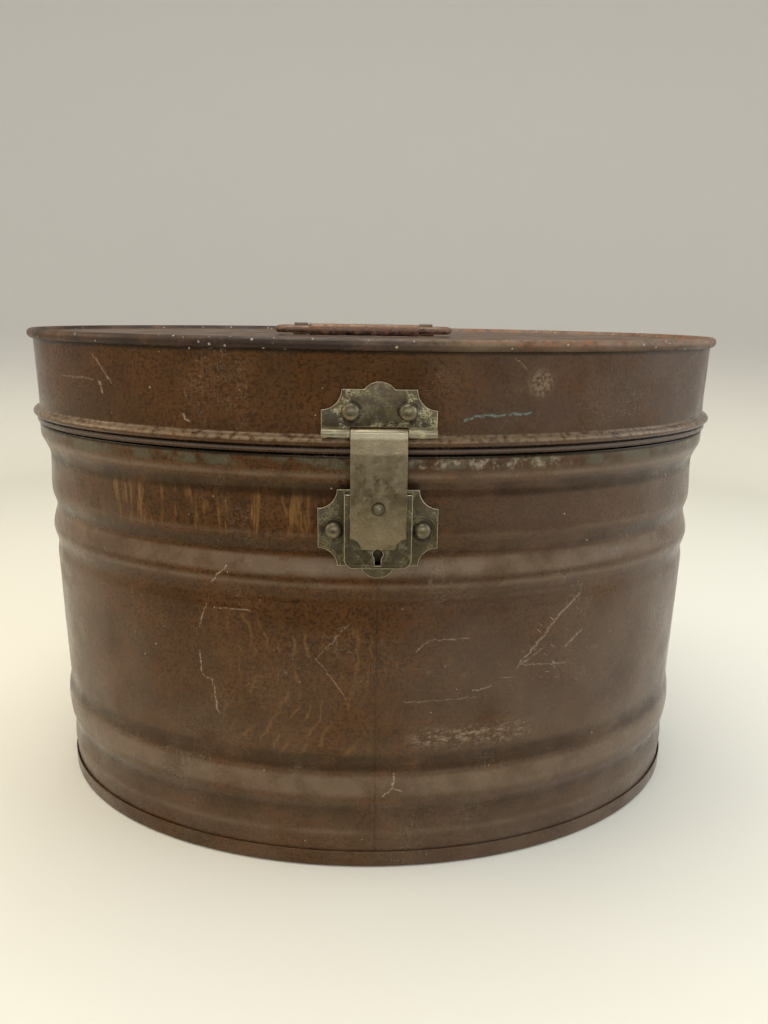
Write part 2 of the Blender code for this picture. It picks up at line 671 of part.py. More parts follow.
def make_lock_bolt():
    """Withdrawn bolt: its nose goes through the staple's eye, its arm is moved by the key."""
    nose, tail, arm = 1.6 * MM, 13.4 * MM, -7.0 * MM
    top, bottom = STAPLE_Z + 1.8 * MM, KEY_Z + 6.0 * MM
    nose_low, arm_top = STAPLE_Z - 1.8 * MM, bottom + 4.5 * MM
    notch, notch_top = 1.6 * MM, bottom + 2.4 * MM
    step = 6.0 * MM
    outline = [(nose, nose_low), (step, nose_low), (step, arm_top), (arm, arm_top), (arm, bottom)]
    outline += [(-notch, bottom), (-notch, notch_top), (notch, notch_top), (notch, bottom)]
    outline += [(tail, bottom), (tail, top), (nose, top)]
    mesh = outline_mesh("lock_bolt", outline, BOLT_HALF, "front", (0, BOLT_Y, 0))
    add_part("lock_bolt", mesh, OVAL, STEEL)


def make_bolt_spring():
    """Bowed flat spring above the bolt."""
    half, sag, strip = 4.6 * MM, 1.9 * MM, 0.4 * MM
    radius = (half ** 2 + sag ** 2) / (2 * sag)
    spread = math.degrees(math.asin(half / radius))
    centre = (8.6 * MM, CASE_TOP - PLATE - GAP + radius - sag)
    outline = arc(centre, radius, 270 - spread, 270 + spread, 6)
    outline += arc(centre, radius + strip, 270 + spread, 270 - spread, 6)
    mesh = outline_mesh("bolt_spring", outline, BOLT_HALF, "front", (0, BOLT_Y, 0))
    add_part("bolt_spring", mesh, OVAL, STEEL)


# ---- rear hinge ----------------------------------------------------------------------------
def leaf_outline(plate_back, plate_end, side, neck):
    """Side view of a leaf: plate on the wall, joggle over the bead, knuckle round the pin.

    Side is 1 for the lid's leaf, which goes up from the pin, and -1 for the case's. The neck
    is the straight length between the pin and the joggle.
    """
    inner = REAR_AXIS_Y - REAR_KNUCKLE
    outer = inner + PLATE
    start = math.degrees(math.acos((outer - REAR_AXIS_Y) / REAR_KNUCKLE))
    knuckle = arc((REAR_AXIS_Y, REAR_AXIS_Z), REAR_KNUCKLE, side * start, -side * 180, 14)
    bend = REAR_AXIS_Z + side * neck
    rise = inner - plate_back
    points = [(outer, bend), *knuckle, (inner, bend - side * 0.4 * MM)]
    points += [(plate_back, bend + side * rise), (plate_back, plate_end)]
    points += [(plate_back + PLATE, plate_end), (plate_back + PLATE, bend + side * (rise + 0.4 * MM))]
    return points


def cut_knuckles(leaf, own, parent):
    """Takes away the other leaf's knuckles. Own is 0 or 1, the first knuckle that stays."""
    width = 2 * REAR_HALF / REAR_KNUCKLES
    reach = REAR_KNUCKLE + 2 * GAP
    for index in range(REAR_KNUCKLES):
        if index % 2 == own:
            continue
        left = -REAR_HALF + index * width
        name = f"{leaf.name}_room_{index + 1}"
        low = (left - GAP / 2, REAR_AXIS_Y - reach, REAR_AXIS_Z - reach)
        high = (left + width + GAP / 2, REAR_AXIS_Y + reach, REAR_AXIS_Z + reach)
        boolean(leaf, add_cutter(name, box_mesh(name, low, high), parent))


def make_rear_hinge():
    leaves = (
        ("lid_leaf", LID_FACE + GAP, LID_LEAF_TOP, 1, 7.6 * MM, LID, LID_RIVET_Z, 1),
        ("case_leaf", HALF_DEPTH, CASE_LEAF_BOTTOM, -1, 9.6 * MM, OVAL, CASE_RIVET_Z, 0),
    )
    grip = PLATE + GAP + SHEET + 1.5 * MM
    for name, plate_back, plate_end, side, neck, parent, rivet_z, own in leaves:
        outline = leaf_outline(plate_back, plate_end, side, neck)
        bent = outline_mesh(name, outline, REAR_HALF, "side", (0, 0, 0))
        leaf = add_part(name, bent, parent, JAPAN)
        cut_knuckles(leaf, own, parent)
        boolean(leaf, pin_bore(f"{name}_bore", LID_AXIS, REAR_HALF, parent))
        for tag, sign in (("left", -1), ("right", 1)):
            spot = (sign * REAR_RIVET_X, plate_back + PLATE, rivet_z)
            boolean(leaf, rivet_hole(f"{name}_rivet_room_{tag}", REAR_RIVET, spot, (0, 1, 0), parent))
            rivet(f"{name}_rivet_{tag}", REAR_RIVET, grip, spot, (0, 1, 0), parent, JAPAN)
    make_pin("rear_hinge_pin", LID_AXIS, REAR_HALF, OVAL)


# ---- handle --------------------------------------------------------------------------------
def bail_route():
    """Right half of the bail: pivot end, corner, leg, corner, to the middle of the grip."""
    corner = BAIL_CORNER
    x = BAIL_HALF - corner
    route = [(BAIL_END, 0)]
    route += arc((x, -corner), corner, 90, 0, 4)
    route += arc((x, -BAIL_REACH + corner), corner, 0, -90, 4)
    return route


def make_bail():
    right = bail_route()
    left = [(-x, y) for x, y in right][::-1]
    curve = bpy.data.curves.new("handle_bail", "CURVE")
    curve.dimensions = "3D"
    curve.bevel_depth = WIRE
    curve.bevel_resolution = 2
    curve.use_fill_caps = True
    spline = curve.splines.new("POLY")
    route = right + left
    spline.points.add(len(route) - 1)
    for point, (x, y) in zip(spline.points, route):
        point.co = (HANDLE_X + x, y, BAIL_Z, 1)
    bail = bpy.data.objects.new("handle_bail", curve)
    place(bail, HANDLE, PARTS)
    set_material(bail, STEEL)


def make_grip():
    bore = WIRE + GAP
    profile = [(bore, GRIP_HALF), (GRIP - 0.5 * MM, GRIP_HALF), (GRIP, GRIP_HALF - 0.8 * MM),
               (GRIP, -GRIP_HALF + 0.8 * MM), (GRIP - 0.5 * MM, -GRIP_HALF), (bore, -GRIP_HALF),
               (bore, GRIP_HALF)]
    turned("handle_grip", profile, (HANDLE_X, -BAIL_REACH, BAIL_Z), (1, 0, 0), HANDLE, JAPAN, ROUND)


def loop_rivets():
    spots = []
    for side, sign in (("left", -1), ("right", 1)):
        for end, way in (("front", -1), ("rear", 1)):
            name = f"handle_rivet_{side}_{end}"
            spots.append((name, HANDLE_X + sign * LOOP_X, way * LOOP_RIVET_Y))
    return spots


def make_handle_loops():
    """Tin straps that hold the bail's pivot ends to the lid."""
    room = WIRE + 0.4 * MM
    foot = PANEL_TOP + GAP
    start = math.degrees(math.asin((BAIL_Z - foot - SHEET) / (room + SHEET)))
    low = math.degrees(math.asin(max(foot - BAIL_Z, -room) / room))
    outer = arc((0, BAIL_Z), room + SHEET, -start, 180 + start, 12)
    inner = arc((0, BAIL_Z), room, 180 - low, low, 12)
    outline = [(LOOP_FOOT, foot), (LOOP_FOOT, foot + SHEET), *outer, (-LOOP_FOOT, foot + SHEET),
               (-LOOP_FOOT, foot), (-room, foot), *inner[1:-1], (room, foot)]
    for side, sign in (("left", -1), ("right", 1)):
        name = f"handle_loop_{side}"
        centre = (HANDLE_X + sign * LOOP_X, 0, 0)
        add_part(name, outline_mesh(name, outline, LOOP_HALF, "side", centre), LID, JAPAN)
    for name, x, y in loop_rivets():
        loop = bpy.data.objects["handle_loop_left" if "left" in name else "handle_loop_right"]
        spot = (x, y, foot + SHEET)
        boolean(loop, rivet_hole(f"{name}_room", LOOP_RIVET, spot, (0, 0, 1), LID, 1.5 * MM))
        rivet(name, LOOP_RIVET, 2 * SHEET + 2 * GAP, spot, (0, 0, 1), LID, JAPAN)


make_case_sheets()
make_bottom_pan()
make_lid_band()
make_lid_top()
make_hinge_plate()
make_pin("hasp_pin", HASP_AXIS, HINGE_HALF, LID)
make_hasp()
make_staple()
make_lock_plate()
make_lock_case()
make_lock_bolt()
make_bolt_spring()
make_rear_hinge()
make_bail()
make_grip()
make_handle_loops()
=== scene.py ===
"""Looks of the japanned-tin hat box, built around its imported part.

Metres, +Z up. The front, with the lock, faces -Y and the long axis of the oval runs along X.
Offsets called "out" are measured outwards from the plain wall of the oval.
"""

import json
import math

import bmesh
import bpy
import numpy as np
from mathutils import Matrix, Vector, noise


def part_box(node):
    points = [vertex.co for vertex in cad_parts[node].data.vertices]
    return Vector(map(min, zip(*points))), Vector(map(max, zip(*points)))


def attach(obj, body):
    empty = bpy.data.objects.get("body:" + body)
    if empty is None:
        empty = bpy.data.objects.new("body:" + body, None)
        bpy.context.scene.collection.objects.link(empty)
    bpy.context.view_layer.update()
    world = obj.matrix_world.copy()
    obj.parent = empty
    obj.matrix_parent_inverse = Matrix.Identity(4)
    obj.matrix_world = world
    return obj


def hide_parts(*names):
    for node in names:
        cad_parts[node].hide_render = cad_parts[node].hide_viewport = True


MM = 0.001

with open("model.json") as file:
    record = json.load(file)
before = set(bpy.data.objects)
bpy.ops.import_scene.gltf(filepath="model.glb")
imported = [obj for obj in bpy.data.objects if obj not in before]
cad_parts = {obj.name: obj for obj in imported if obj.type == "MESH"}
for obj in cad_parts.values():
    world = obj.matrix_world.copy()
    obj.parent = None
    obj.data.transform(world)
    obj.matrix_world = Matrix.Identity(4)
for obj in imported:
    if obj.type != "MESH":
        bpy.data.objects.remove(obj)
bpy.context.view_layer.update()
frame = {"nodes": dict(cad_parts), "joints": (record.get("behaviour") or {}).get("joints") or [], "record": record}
AXIS = {joint["name"]: Vector(joint.get("pos_m", (0, 0, 0))) for joint in frame["joints"]}
BODY_OF = {node: body for body, nodes in frame["record"]["behaviour"]["bodies"].items() for node in nodes}

TIN = "japanned_tin"
BRASS = "aged_brass"
WIRE_RUST = "rusted_wire"

# ---- the oval and its heights, from the frame ------------------------------------------------
RIM_OUT = 5.0 * MM
LID_OUT = 2.2 * MM
LIP_OUT = 3.9 * MM
BEAD_OUT = 5.7 * MM
STOP_OUT = 2.9 * MM
COLLAR_OUT = 0.4 * MM
FLANGE_OUT = 1.5 * MM
GAP = 0.3 * MM
SHEET = 0.45 * MM

TOP_LOW, TOP_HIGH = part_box("lid_top")
HALF_LENGTH = TOP_HIGH.x - RIM_OUT
HALF_DEPTH = (TOP_HIGH.y - TOP_LOW.y) / 2 - RIM_OUT
CENTRE_Y = (TOP_HIGH.y + TOP_LOW.y) / 2
RIM_TOP = TOP_HIGH.z
RIM_BOTTOM = TOP_LOW.z
PANEL_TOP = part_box("handle_loop_left")[0].z - GAP
LIP_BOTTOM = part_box("lid_band")[0].z
BEAD_HEIGHT = LIP_BOTTOM + 5.4 * MM
STOP_TOP = LIP_BOTTOM - 0.6 * MM
COLLAR_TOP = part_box("case_sheet_left")[1].z
FLANGE_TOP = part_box("bottom_pan")[1].z
COLUMNS = 384
ROW = 1.7 * MM


# ---- mesh helpers ----------------------------------------------------------------------------
def new_object(name, mesh):
    item = bpy.data.objects.new(name, mesh)
    bpy.context.scene.collection.objects.link(item)
    return item


def mesh_from(name, bm):
    bmesh.ops.recalc_face_normals(bm, faces=bm.faces)
    mesh = bpy.data.meshes.new(name)
    bm.to_mesh(mesh)
    bm.free()
    return mesh


def settle(item, sharp=35):
    """Applies the modifiers and shades the result smooth up to the sharp angle."""
    graph = bpy.context.evaluated_depsgraph_get()
    mesh = bpy.data.meshes.new_from_object(item.evaluated_get(graph))
    item.modifiers.clear()
    item.data = mesh
    mesh.shade_smooth()
    mesh.set_sharp_from_angle(angle=math.radians(sharp))
    return item


def add_piece(node, mesh, looks, slot, *more_nodes):
    """The fine piece that stands for a CAD node, with its materials and body. The slot argument is not used."""
    piece = new_object(f"{node}_fine", mesh)
    for look in looks:
        piece.data.materials.append(look)
    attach(piece, BODY_OF[node])
    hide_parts(node, *more_nodes)
    return piece


def solidify(piece, thickness=SHEET):
    """Thickens an open sheet behind its outer face. The inside takes the second material."""
    modifier = piece.modifiers.new("sheet", "SOLIDIFY")
    modifier.thickness = thickness
    modifier.offset = -1
    modifier.use_even_offset = True
    modifier.material_offset = 1
    return settle(piece)


def bevel_modifier(item, width, segments=2):
    modifier = item.modifiers.new("edges", "BEVEL")
    modifier.width = width
    modifier.segments = segments
    modifier.limit_method = "ANGLE"
    modifier.angle_limit = math.radians(40)
    return modifier


def bevel(piece, width, segments=2):
    """Rounds the sharp edges. The rounded edges take the second material."""
    bevel_modifier(piece, width, segments).material = len(piece.data.materials) - 1
    return settle(piece, 50)


def soft_edges(mesh, width):
    """The mesh with its sharp edges rounded."""
    item = new_object("soft", mesh)
    bevel_modifier(item, width)
    settle(item)
    result = item.data
    bpy.data.objects.remove(item)
    return result


def cut(piece, mesh, operation="DIFFERENCE"):
    """Cuts the piece with a mesh, or joins the mesh to it, at once."""
    other = new_object("cutter", mesh)
    modifier = piece.modifiers.new("cut", "BOOLEAN")
    modifier.operation = operation
    modifier.solver = "EXACT"
    modifier.object = other
    settle(piece)
    bpy.data.objects.remove(other)
    return piece


def arc(centre, radius, start, end, steps):
    """Points on an arc, angles in degrees. Radius is one number or a pair."""
    wide, high = radius if isinstance(radius, tuple) else (radius, radius)
    points = []
    for angle in np.radians(np.linspace(start, end, steps + 1)):
        points.append((centre[0] + wide * math.cos(angle), centre[1] + high * math.sin(angle)))
    return points


def bulge(half_width, rise, height, side, steps=20):
    """A shallow arc across the middle of an edge, from left to right."""
    radius = (half_width ** 2 + rise ** 2) / (2 * rise)
    spread = math.degrees(math.asin(half_width / radius))
    if half_width < rise:
        spread = 180 - spread
    centre = (0, height + side * (rise - radius))
    return arc(centre, radius, side * (90 + spread), side * (90 - spread), steps)


def prism(outline, low, high, facing):
    """Closed mesh of an outline between two depths.

    Facing "front" reads the outline as X and Z and the depths as Y, "side" as Y and Z, and X.
    """
    bm = bmesh.new()
    ends = []
    for depth in (low, high):
        if facing == "front":
            ring = [bm.verts.new((across, depth, up)) for across, up in outline]
        else:
            ring = [bm.verts.new((depth, across, up)) for across, up in outline]
        ends.append(ring)
        bm.faces.new(ring)
    near, far = ends
    for index in range(len(outline)):
        after = (index + 1) % len(outline)
        bm.faces.new((near[index], near[after], far[after], far[index]))
    return mesh_from("prism", bm)


def rod(radius, start, end, sides=32):
    start, end = Vector(start), Vector(end)
    bm = bmesh.new()
    turn = (end - start).to_track_quat("Z", "Y").to_matrix().to_4x4()
    bmesh.ops.create_cone(bm, cap_ends=True, segments=sides, radius1=radius, radius2=radius,
                          depth=(end - start).length,
                          matrix=Matrix.Translation((start + end) / 2) @ turn)
    return mesh_from("rod", bm)


def block(low, high):
    outline = [(low[0], low[2]), (high[0], low[2]), (high[0], high[2]), (low[0], high[2])]
    return prism(outline, low[1], high[1], "front")


def turned(profile, location, direction, steps=40, closed=False):
    """Turns (radius, height) points about the direction, which is where height grows."""
    bm = bmesh.new()
    turn = Vector(direction).to_track_quat("Z", "Y").to_matrix()
    rings = []
    for radius, height in profile:
        ring = []
        for angle in np.linspace(0, 2 * math.pi, steps, endpoint=False):
            point = Vector((radius * math.cos(angle), radius * math.sin(angle), height))
            ring.append(bm.verts.new(turn @ point + Vector(location)))
        rings.append(ring)
    pairs = list(zip(rings, rings[1:]))
    if closed:
        pairs.append((rings[-1], rings[0]))
    for low, high in pairs:
        for index in range(steps):
            after = (index + 1) % steps
            bm.faces.new((low[index], low[after], high[after], high[index]))
    bmesh.ops.remove_doubles(bm, verts=bm.verts, dist=1e-6)
    return mesh_from("turned", bm)


def joined(*meshes):
    """One mesh that holds several."""
    bm = bmesh.new()
    for mesh in meshes:
        bm.from_mesh(mesh)
    mesh = bpy.data.meshes.new("joined")
    bm.to_mesh(mesh)
    bm.free()
    return mesh


def add_meshes(piece, looks, *meshes):
    """Adds meshes to a finished piece, which keeps its materials."""
    piece.data = joined(piece.data, *meshes)
    for look in looks:
        piece.data.materials.append(look)
    return settle(piece, 50)


def wire(points, radius, closed, fine):
    """Round wire along a run of points."""
    curve = bpy.data.curves.new("wire", "CURVE")
    curve.dimensions = "3D"
    curve.bevel_depth = radius
    curve.bevel_resolution = fine
    curve.use_fill_caps = True
    spline = curve.splines.new("POLY")
    spline.points.add(len(points) - 1)
    spline.use_cyclic_u = closed
    for point, place in zip(spline.points, points):
        point.co = (*place, 1)
    drawing = new_object("wire", curve)
    graph = bpy.context.evaluated_depsgraph_get()
    mesh = bpy.data.meshes.new_from_object(drawing.evaluated_get(graph))
    bpy.data.objects.remove(drawing)
    bm = bmesh.new()
    bm.from_mesh(mesh)
    bmesh.ops.remove_doubles(bm, verts=bm.verts, dist=1e-6)
    return mesh_from("wire", bm)


# ---- camera, light and floor -----------------------------------------------------------------
def make_camera():
    """The camera stands in front of the oval, a little above the lid, and looks down at it."""
    distance, height, aside = 460.5 * MM, 280.4 * MM, 7.0 * MM
    yaw, pitch, roll = math.radians(1.83), math.radians(15.05), math.radians(0.88)
    ahead = Vector((math.sin(yaw), math.cos(yaw), 0))
    right = Vector((math.cos(yaw), -math.sin(yaw), 0))
    look = ahead * math.cos(pitch) - Vector((0, 0, 1)) * math.sin(pitch)
    up = right.cross(look)
    side = right * math.cos(roll) + up * math.sin(roll)
    top = up * math.cos(roll) - right * math.sin(roll)
    data = bpy.data.cameras.new("camera")
    data.lens = 26
    data.clip_start = 0.01
    camera = bpy.data.objects.new("camera", data)
    bpy.context.scene.collection.objects.link(camera)
    place = Matrix((side, top, -look)).transposed().to_4x4()
    place.translation = Vector((0, CENTRE_Y, height)) - ahead * distance + right * aside
    camera.matrix_world = place
    bpy.context.scene.camera = camera


def area_light(name, location, target, size, power, colour):
    data = bpy.data.lights.new(name, "AREA")
    data.shape = "RECTANGLE"
    data.size, data.size_y = size
    data.energy = power
    data.color = colour
    light = bpy.data.objects.new(name, data)
    bpy.context.scene.collection.objects.link(light)
    light.location = location
    light.rotation_euler = (Vector(target) - Vector(location)).to_track_quat("-Z", "Y").to_euler()
    light.visible_camera = False


def make_light():
    world = bpy.data.worlds.new("studio")
    bpy.context.scene.world = world
    world.use_nodes = True
    background = world.node_tree.nodes["Background"]
    background.inputs["Color"].default_value = (0.80, 0.84, 0.92, 1)
    background.inputs["Strength"].default_value = 0.22
    bpy.context.scene.view_settings.view_transform = "Standard"
    middle = (0, 0, 0.1)
    area_light("overhead", (-0.1, 0.05, 1.3), middle, (1.3, 0.9), 13.5, (1.0, 0.96, 0.88))
    area_light("left_window", (-0.9, -0.1, 0.7), middle, (0.6, 0.6), 3.2, (1.0, 0.82, 0.58))
    area_light("right_window", (0.95, -0.15, 0.6), middle, (0.8, 0.8), 5.0, (0.78, 0.87, 1.0))
    area_light("front_window", (0.05, -0.97, 0.48), middle, (1.0, 0.28), 3.0, (0.90, 0.93, 1.0))


def make_flag():
    """A dark card in front of the view, which only keeps the far floor out of the gloss."""
    near, far, rise, top, thick, half = -0.40, -1.12, 0.02, 1.2, 0.004, 1.0
    outline = [(near, thick), (far, rise), (far, top), (far + thick, top), (far + thick, rise + thick),
               (near, 2 * thick)]
    flag = new_object("flag", prism(outline, -half, half, "side"))
    look = Look("flag", {"Base Color": (0.02, 0.02, 0.02, 1), "Roughness": 0.9, "Specular IOR Level": 0.0})
    flag.data.materials.append(look.material)
    flag.visible_camera = False
    flag.visible_diffuse = False
    flag.visible_shadow = False


def make_floor():
    """A round pale floor that sweeps up into a plain wall, well outside the object."""
    flat, sweep, wall = 0.95, 0.25, 1.7
    profile = [(0, 0), (flat, 0)]
    profile += arc((flat, sweep), sweep, -90, 0, 12)[1:]
    profile.append((flat + sweep, wall))
    mesh = turned(profile, (0, 0, 0), (0, 0, 1), 96)
    mesh.flip_normals()
    floor = new_object("floor", mesh)
    mesh.shade_smooth()
    look = Look("floor", {"Roughness": 0.6, "Specular IOR Level": 0.3})
    cream, grey = (0.82, 0.80, 0.70), (0.49, 0.48, 0.46)
    up = look.ramp(look.z, 0.0, sweep)
    look.put("Base Color", look.mix(cream, grey, up))
    mesh.materials.append(look.material)


# ---- material helper -------------------------------------------------------------------------
class Nodes:
    """Short ways to add nodes to a shader tree."""

    def __init__(self, tree):
        self.nodes = tree.nodes
        self.links = tree.links

    def set(self, node, key, value):
        """Links a socket to an input, or sets the input to a value. A colour may lack its alpha."""
        socket = node.inputs[key]
        if isinstance(value, bpy.types.NodeSocket):
            self.links.new(value, socket)
        elif isinstance(value, tuple) and len(socket.default_value) == 4:
            socket.default_value = (*value, 1)
        else:
            socket.default_value = value

    def new(self, kind, inputs, output=0, **settings):
        node = self.nodes.new(kind)
        for name, value in settings.items():
            setattr(node, name, value)
        for key, value in inputs.items():
            self.set(node, key, value)
        return node.outputs[output]

    def math(self, operation, *values):
        return self.new("ShaderNodeMath", dict(enumerate(values)), operation=operation)

    def vector(self, operation, first, second, output=0):
        return self.new("ShaderNodeVectorMath", {0: first, 1: second}, output, operation=operation)

    def scaled(self, vector, scale):
        return self.new("ShaderNodeVectorMath", {0: vector, "Scale": scale}, operation="SCALE")

    def times(self, first, *rest):
        for value in rest:
            first = self.math("MULTIPLY", first, value)
        return first

    def either(self, first, *rest):
        for value in rest:
            first = self.math("MAXIMUM", first, value)
        return first

    def ramp(self, value, low, high, start=0.0, end=1.0):
        """Goes smoothly from start to end as value goes from low to high."""
        inputs = {"Value": value, "From Min": low, "From Max": high, "To Min": start, "To Max": end}
        return self.new("ShaderNodeMapRange", inputs, interpolation_type="SMOOTHSTEP")


class Look(Nodes):
    """A procedural material that builds up one colour. Its coordinates are the frame's."""

    def __init__(self, name, constants):
        self.material = bpy.data.materials.new(name)
        self.material.use_nodes = True
        super().__init__(self.material.node_tree)
        self.shader = self.nodes["Principled BSDF"]
        for socket, value in constants.items():
            self.shader.inputs[socket].default_value = value
        self.colour = None
        self.mottle = None
        self.place = self.nodes.new("ShaderNodeTexCoord").outputs["Object"]
        split = self.nodes.new("ShaderNodeSeparateXYZ")
        self.links.new(self.place, split.inputs[0])
        self.x, self.y, self.z = split.outputs

    def put(self, socket, value):
        self.links.new(value, self.shader.inputs[socket])

    def profile(self, value, stops):
        """A tone that runs through (place in mm, -1 to 1) stops, given back as 0 to 1."""
        reach = stops[-1][0]
        share = self.math("DIVIDE", value, reach * MM)
        node = self.new("ShaderNodeValToRGB", {0: share}).node
        points = node.color_ramp.elements
        while len(points) < len(stops):
            points.new(1.0)
        for point, (place, tone) in zip(points, stops):
            point.position = place / reach
            point.color = (*[(1 + tone) / 2] * 3, 1)
        return node.outputs[0]

    # Places on the box.
    def oval(self):
        """Distance from the oval's centre as a share of the way to the plain wall."""
        squares = []
        for value, middle, half in ((self.x, 0, HALF_LENGTH), (self.y, CENTRE_Y, HALF_DEPTH)):
            share = self.math("DIVIDE", self.math("SUBTRACT", value, middle), half)
            squares.append(self.math("POWER", share, 2))
        return self.math("SQRT", self.math("ADD", *squares))

    def fade(self, value, low, high, start=0.0, end=1.0):
        """A ramp between two places or distances in mm."""
        return self.ramp(value, low * MM, high * MM, start, end)

    def front(self):
        return self.fade(self.y, 0, 10, 1.0, 0.0)

    def band(self, value, low, high, soft):
        """1 between low and high, fading over soft."""
        return self.times(self.ramp(value, low - soft, low + soft),
                          self.ramp(value, high - soft, high + soft, 1.0, 0.0))

    def across(self, low, high, soft):
        """1 between two places along the box, in mm."""
        return self.band(self.x, low * MM, high * MM, soft * MM)

    def level(self, low, high, soft):
        """1 between two heights, in mm."""
        return self.band(self.z, low * MM, high * MM, soft * MM)

    def away(self, spot, place=None):
        return self.vector("DISTANCE", place or self.place, spot, "Value")

    def stretched(self, x, y, z):
        return self.vector("MULTIPLY", self.place, (x, y, z))

    # Patterns, with sizes in mm.
    def noise(self, size, detail=3.0, vector=None, wobble=0.0, rough=0.55):
        """Noise with features about as large as size."""
        inputs = {"Vector": vector or self.place, "Scale": 1 / (size * MM), "Detail": detail,
                  "Roughness": rough, "Distortion": wobble}
        return self.new("ShaderNodeTexNoise", inputs)

    def patches(self, size, low, high, **noise_settings):
        return self.ramp(self.noise(size, **noise_settings), low, high)

    def specks(self, size, share, radius):
        """Small round spots: that share of the cells hold one, of that radius in cells."""
        node = self.new("ShaderNodeTexVoronoi", {"Vector": self.place, "Scale": 1 / (size * MM)}).node
        chance = self.new("ShaderNodeSeparateColor", {0: node.outputs["Color"]})
        kept = self.ramp(chance, 1 - share, 1 - share + 0.02)
        return self.times(kept, self.ramp(node.outputs["Distance"], radius * 0.6, radius, 1.0, 0.0))

    def scratches(self, routes):
        """Thin wavering marks at the front of the box, as (width in mm, strength, (x, z) points in mm)."""
        wave, sway = 4 * MM, 3 * MM
        waver = self.new("ShaderNodeTexNoise", {"Vector": self.place, "Scale": 1 / wave, "Detail": 4.0}, 1)
        waver = self.vector("SUBTRACT", waver, (0.5, 0.5, 0.5))
        place = self.vector("ADD", self.place, self.scaled(waver, sway))
        masks = []
        for width, strength, route in routes:
            for start, end in zip(route, route[1:]):
                node = self.nodes.new("ShaderNodeGroup")
                node.node_tree = scratch_group()
                self.set(node, "Place", place)
                self.set(node, "Width", width * MM)
                self.set(node, "Start", (start[0] * MM, 0, start[1] * MM))
                self.set(node, "End", (end[0] * MM, 0, end[1] * MM))
                masks.append(self.times(node.outputs[0], strength))
        front = self.front()
        return self.times(self.either(*masks), front)

    # Results.
    def mix(self, first, second, mask):
        node = self.nodes.new("ShaderNodeMix")
        node.data_type = "RGBA"
        for index, value in ((0, mask), (6, first), (7, second)):
            self.set(node, index, value)
        return node.outputs[2]

    def layer(self, colour, *masks, share=None):
        """Lays a colour over the look's own, where all the masks are, and only that share of it."""
        if share is not None:
            masks += (share,)
        self.colour = self.mix(self.colour, colour, self.times(*masks))

    def bump(self, layers):
        """Adds (height socket, depth in mm) layers as one bump."""
        total = None
        for height, depth in layers:
            scaled = self.times(height, depth * MM)
            total = scaled if total is None else self.math("ADD", total, scaled)
        self.put("Normal", self.new("ShaderNodeBump", {"Height": total, "Strength": 1.0, "Distance": 1.0}))


def scratch_group():
    """Node group: 1 on the segment from Start to End in the XZ plane, 0 beyond Width."""
    name = "scratch"
    if name in bpy.data.node_groups:
        return bpy.data.node_groups[name]
    group = bpy.data.node_groups.new(name, "ShaderNodeTree")
    for label in ("Place", "Start", "End"):
        group.interface.new_socket(label, in_out="INPUT", socket_type="NodeSocketVector")
    group.interface.new_socket("Width", in_out="INPUT", socket_type="NodeSocketFloat")
    group.interface.new_socket("Mask", in_out="OUTPUT", socket_type="NodeSocketFloat")
    nodes = Nodes(group)
    inputs = group.nodes.new("NodeGroupInput").outputs
    output = group.nodes.new("NodeGroupOutput")
    flat = nodes.vector("MULTIPLY", inputs["Place"], (1, 0, 1))
    along = nodes.vector("SUBTRACT", inputs["End"], inputs["Start"])
    there = nodes.vector("SUBTRACT", flat, inputs["Start"])
    dot = nodes.vector("DOT_PRODUCT", there, along, "Value")
    square = nodes.vector("DOT_PRODUCT", along, along, "Value")
    share = nodes.new("ShaderNodeMath", {0: dot, 1: square}, operation="DIVIDE", use_clamp=True)
    away = nodes.vector("DISTANCE", there, nodes.scaled(along, share), "Value")
    nodes.set(output, 0, nodes.ramp(away, 0, inputs["Width"], 1.0, 0.0))
    return group


# ---- materials -------------------------------------------------------------------------------
BROWN = (0.055, 0.023, 0.0075)
RED_BROWN = (0.080, 0.032, 0.010)
DARK = (0.014, 0.007, 0.004)
BLACK = (0.004, 0.003, 0.002)
DUST_AND_SHEEN = (0.170, 0.122, 0.082)
COOL_DUST_AND_SHEEN = (0.078, 0.058, 0.048)
GRAIN = (0.190, 0.092, 0.028)
PALE = (0.46, 0.38, 0.28)
RUST = (0.24, 0.075, 0.025)
DARK_RUST = (0.17, 0.070, 0.030)
LIGHT_RUST = (0.27, 0.135, 0.060)
GREEN = (0.10, 0.13, 0.09)
GREEN_PAINT = (0.13, 0.19, 0.16)
TAN = (0.20, 0.140, 0.085)
BARE_TIN = (0.30, 0.235, 0.17)
SCUFFED = (0.24, 0.18, 0.12)
LIP_GREY = (0.11, 0.095, 0.085)
LACQUER = (0.13, 0.085, 0.045)
DULL_LACQUER = (0.085, 0.050, 0.026)
PITTED_BRASS = (0.05, 0.042, 0.028)
WORN_AND_LIT_BRASS = (0.55, 0.49, 0.34)
BRASS_CRUST = (0.46, 0.42, 0.23)

VARNISH_GLOSS = {"Coat Weight": 0.10, "Coat Roughness": 0.08, "IOR": 1.5, "Specular IOR Level": 0.24,
                 "Specular Tint": (1.0, 0.72, 0.40, 1.0)}
TOP_GLOSS = {"Coat Weight": 0.15, "Coat Roughness": 0.35, "IOR": 1.4, "Specular IOR Level": 0.3}
INSIDE_GLOSS = {"Coat Weight": 0.1, "Coat Roughness": 0.4, "IOR": 1.5}
BRASS_GLOSS = {"IOR": 1.45, "Specular IOR Level": 0.5}
CORRODED = {"detail": 6, "rough": 0.7}
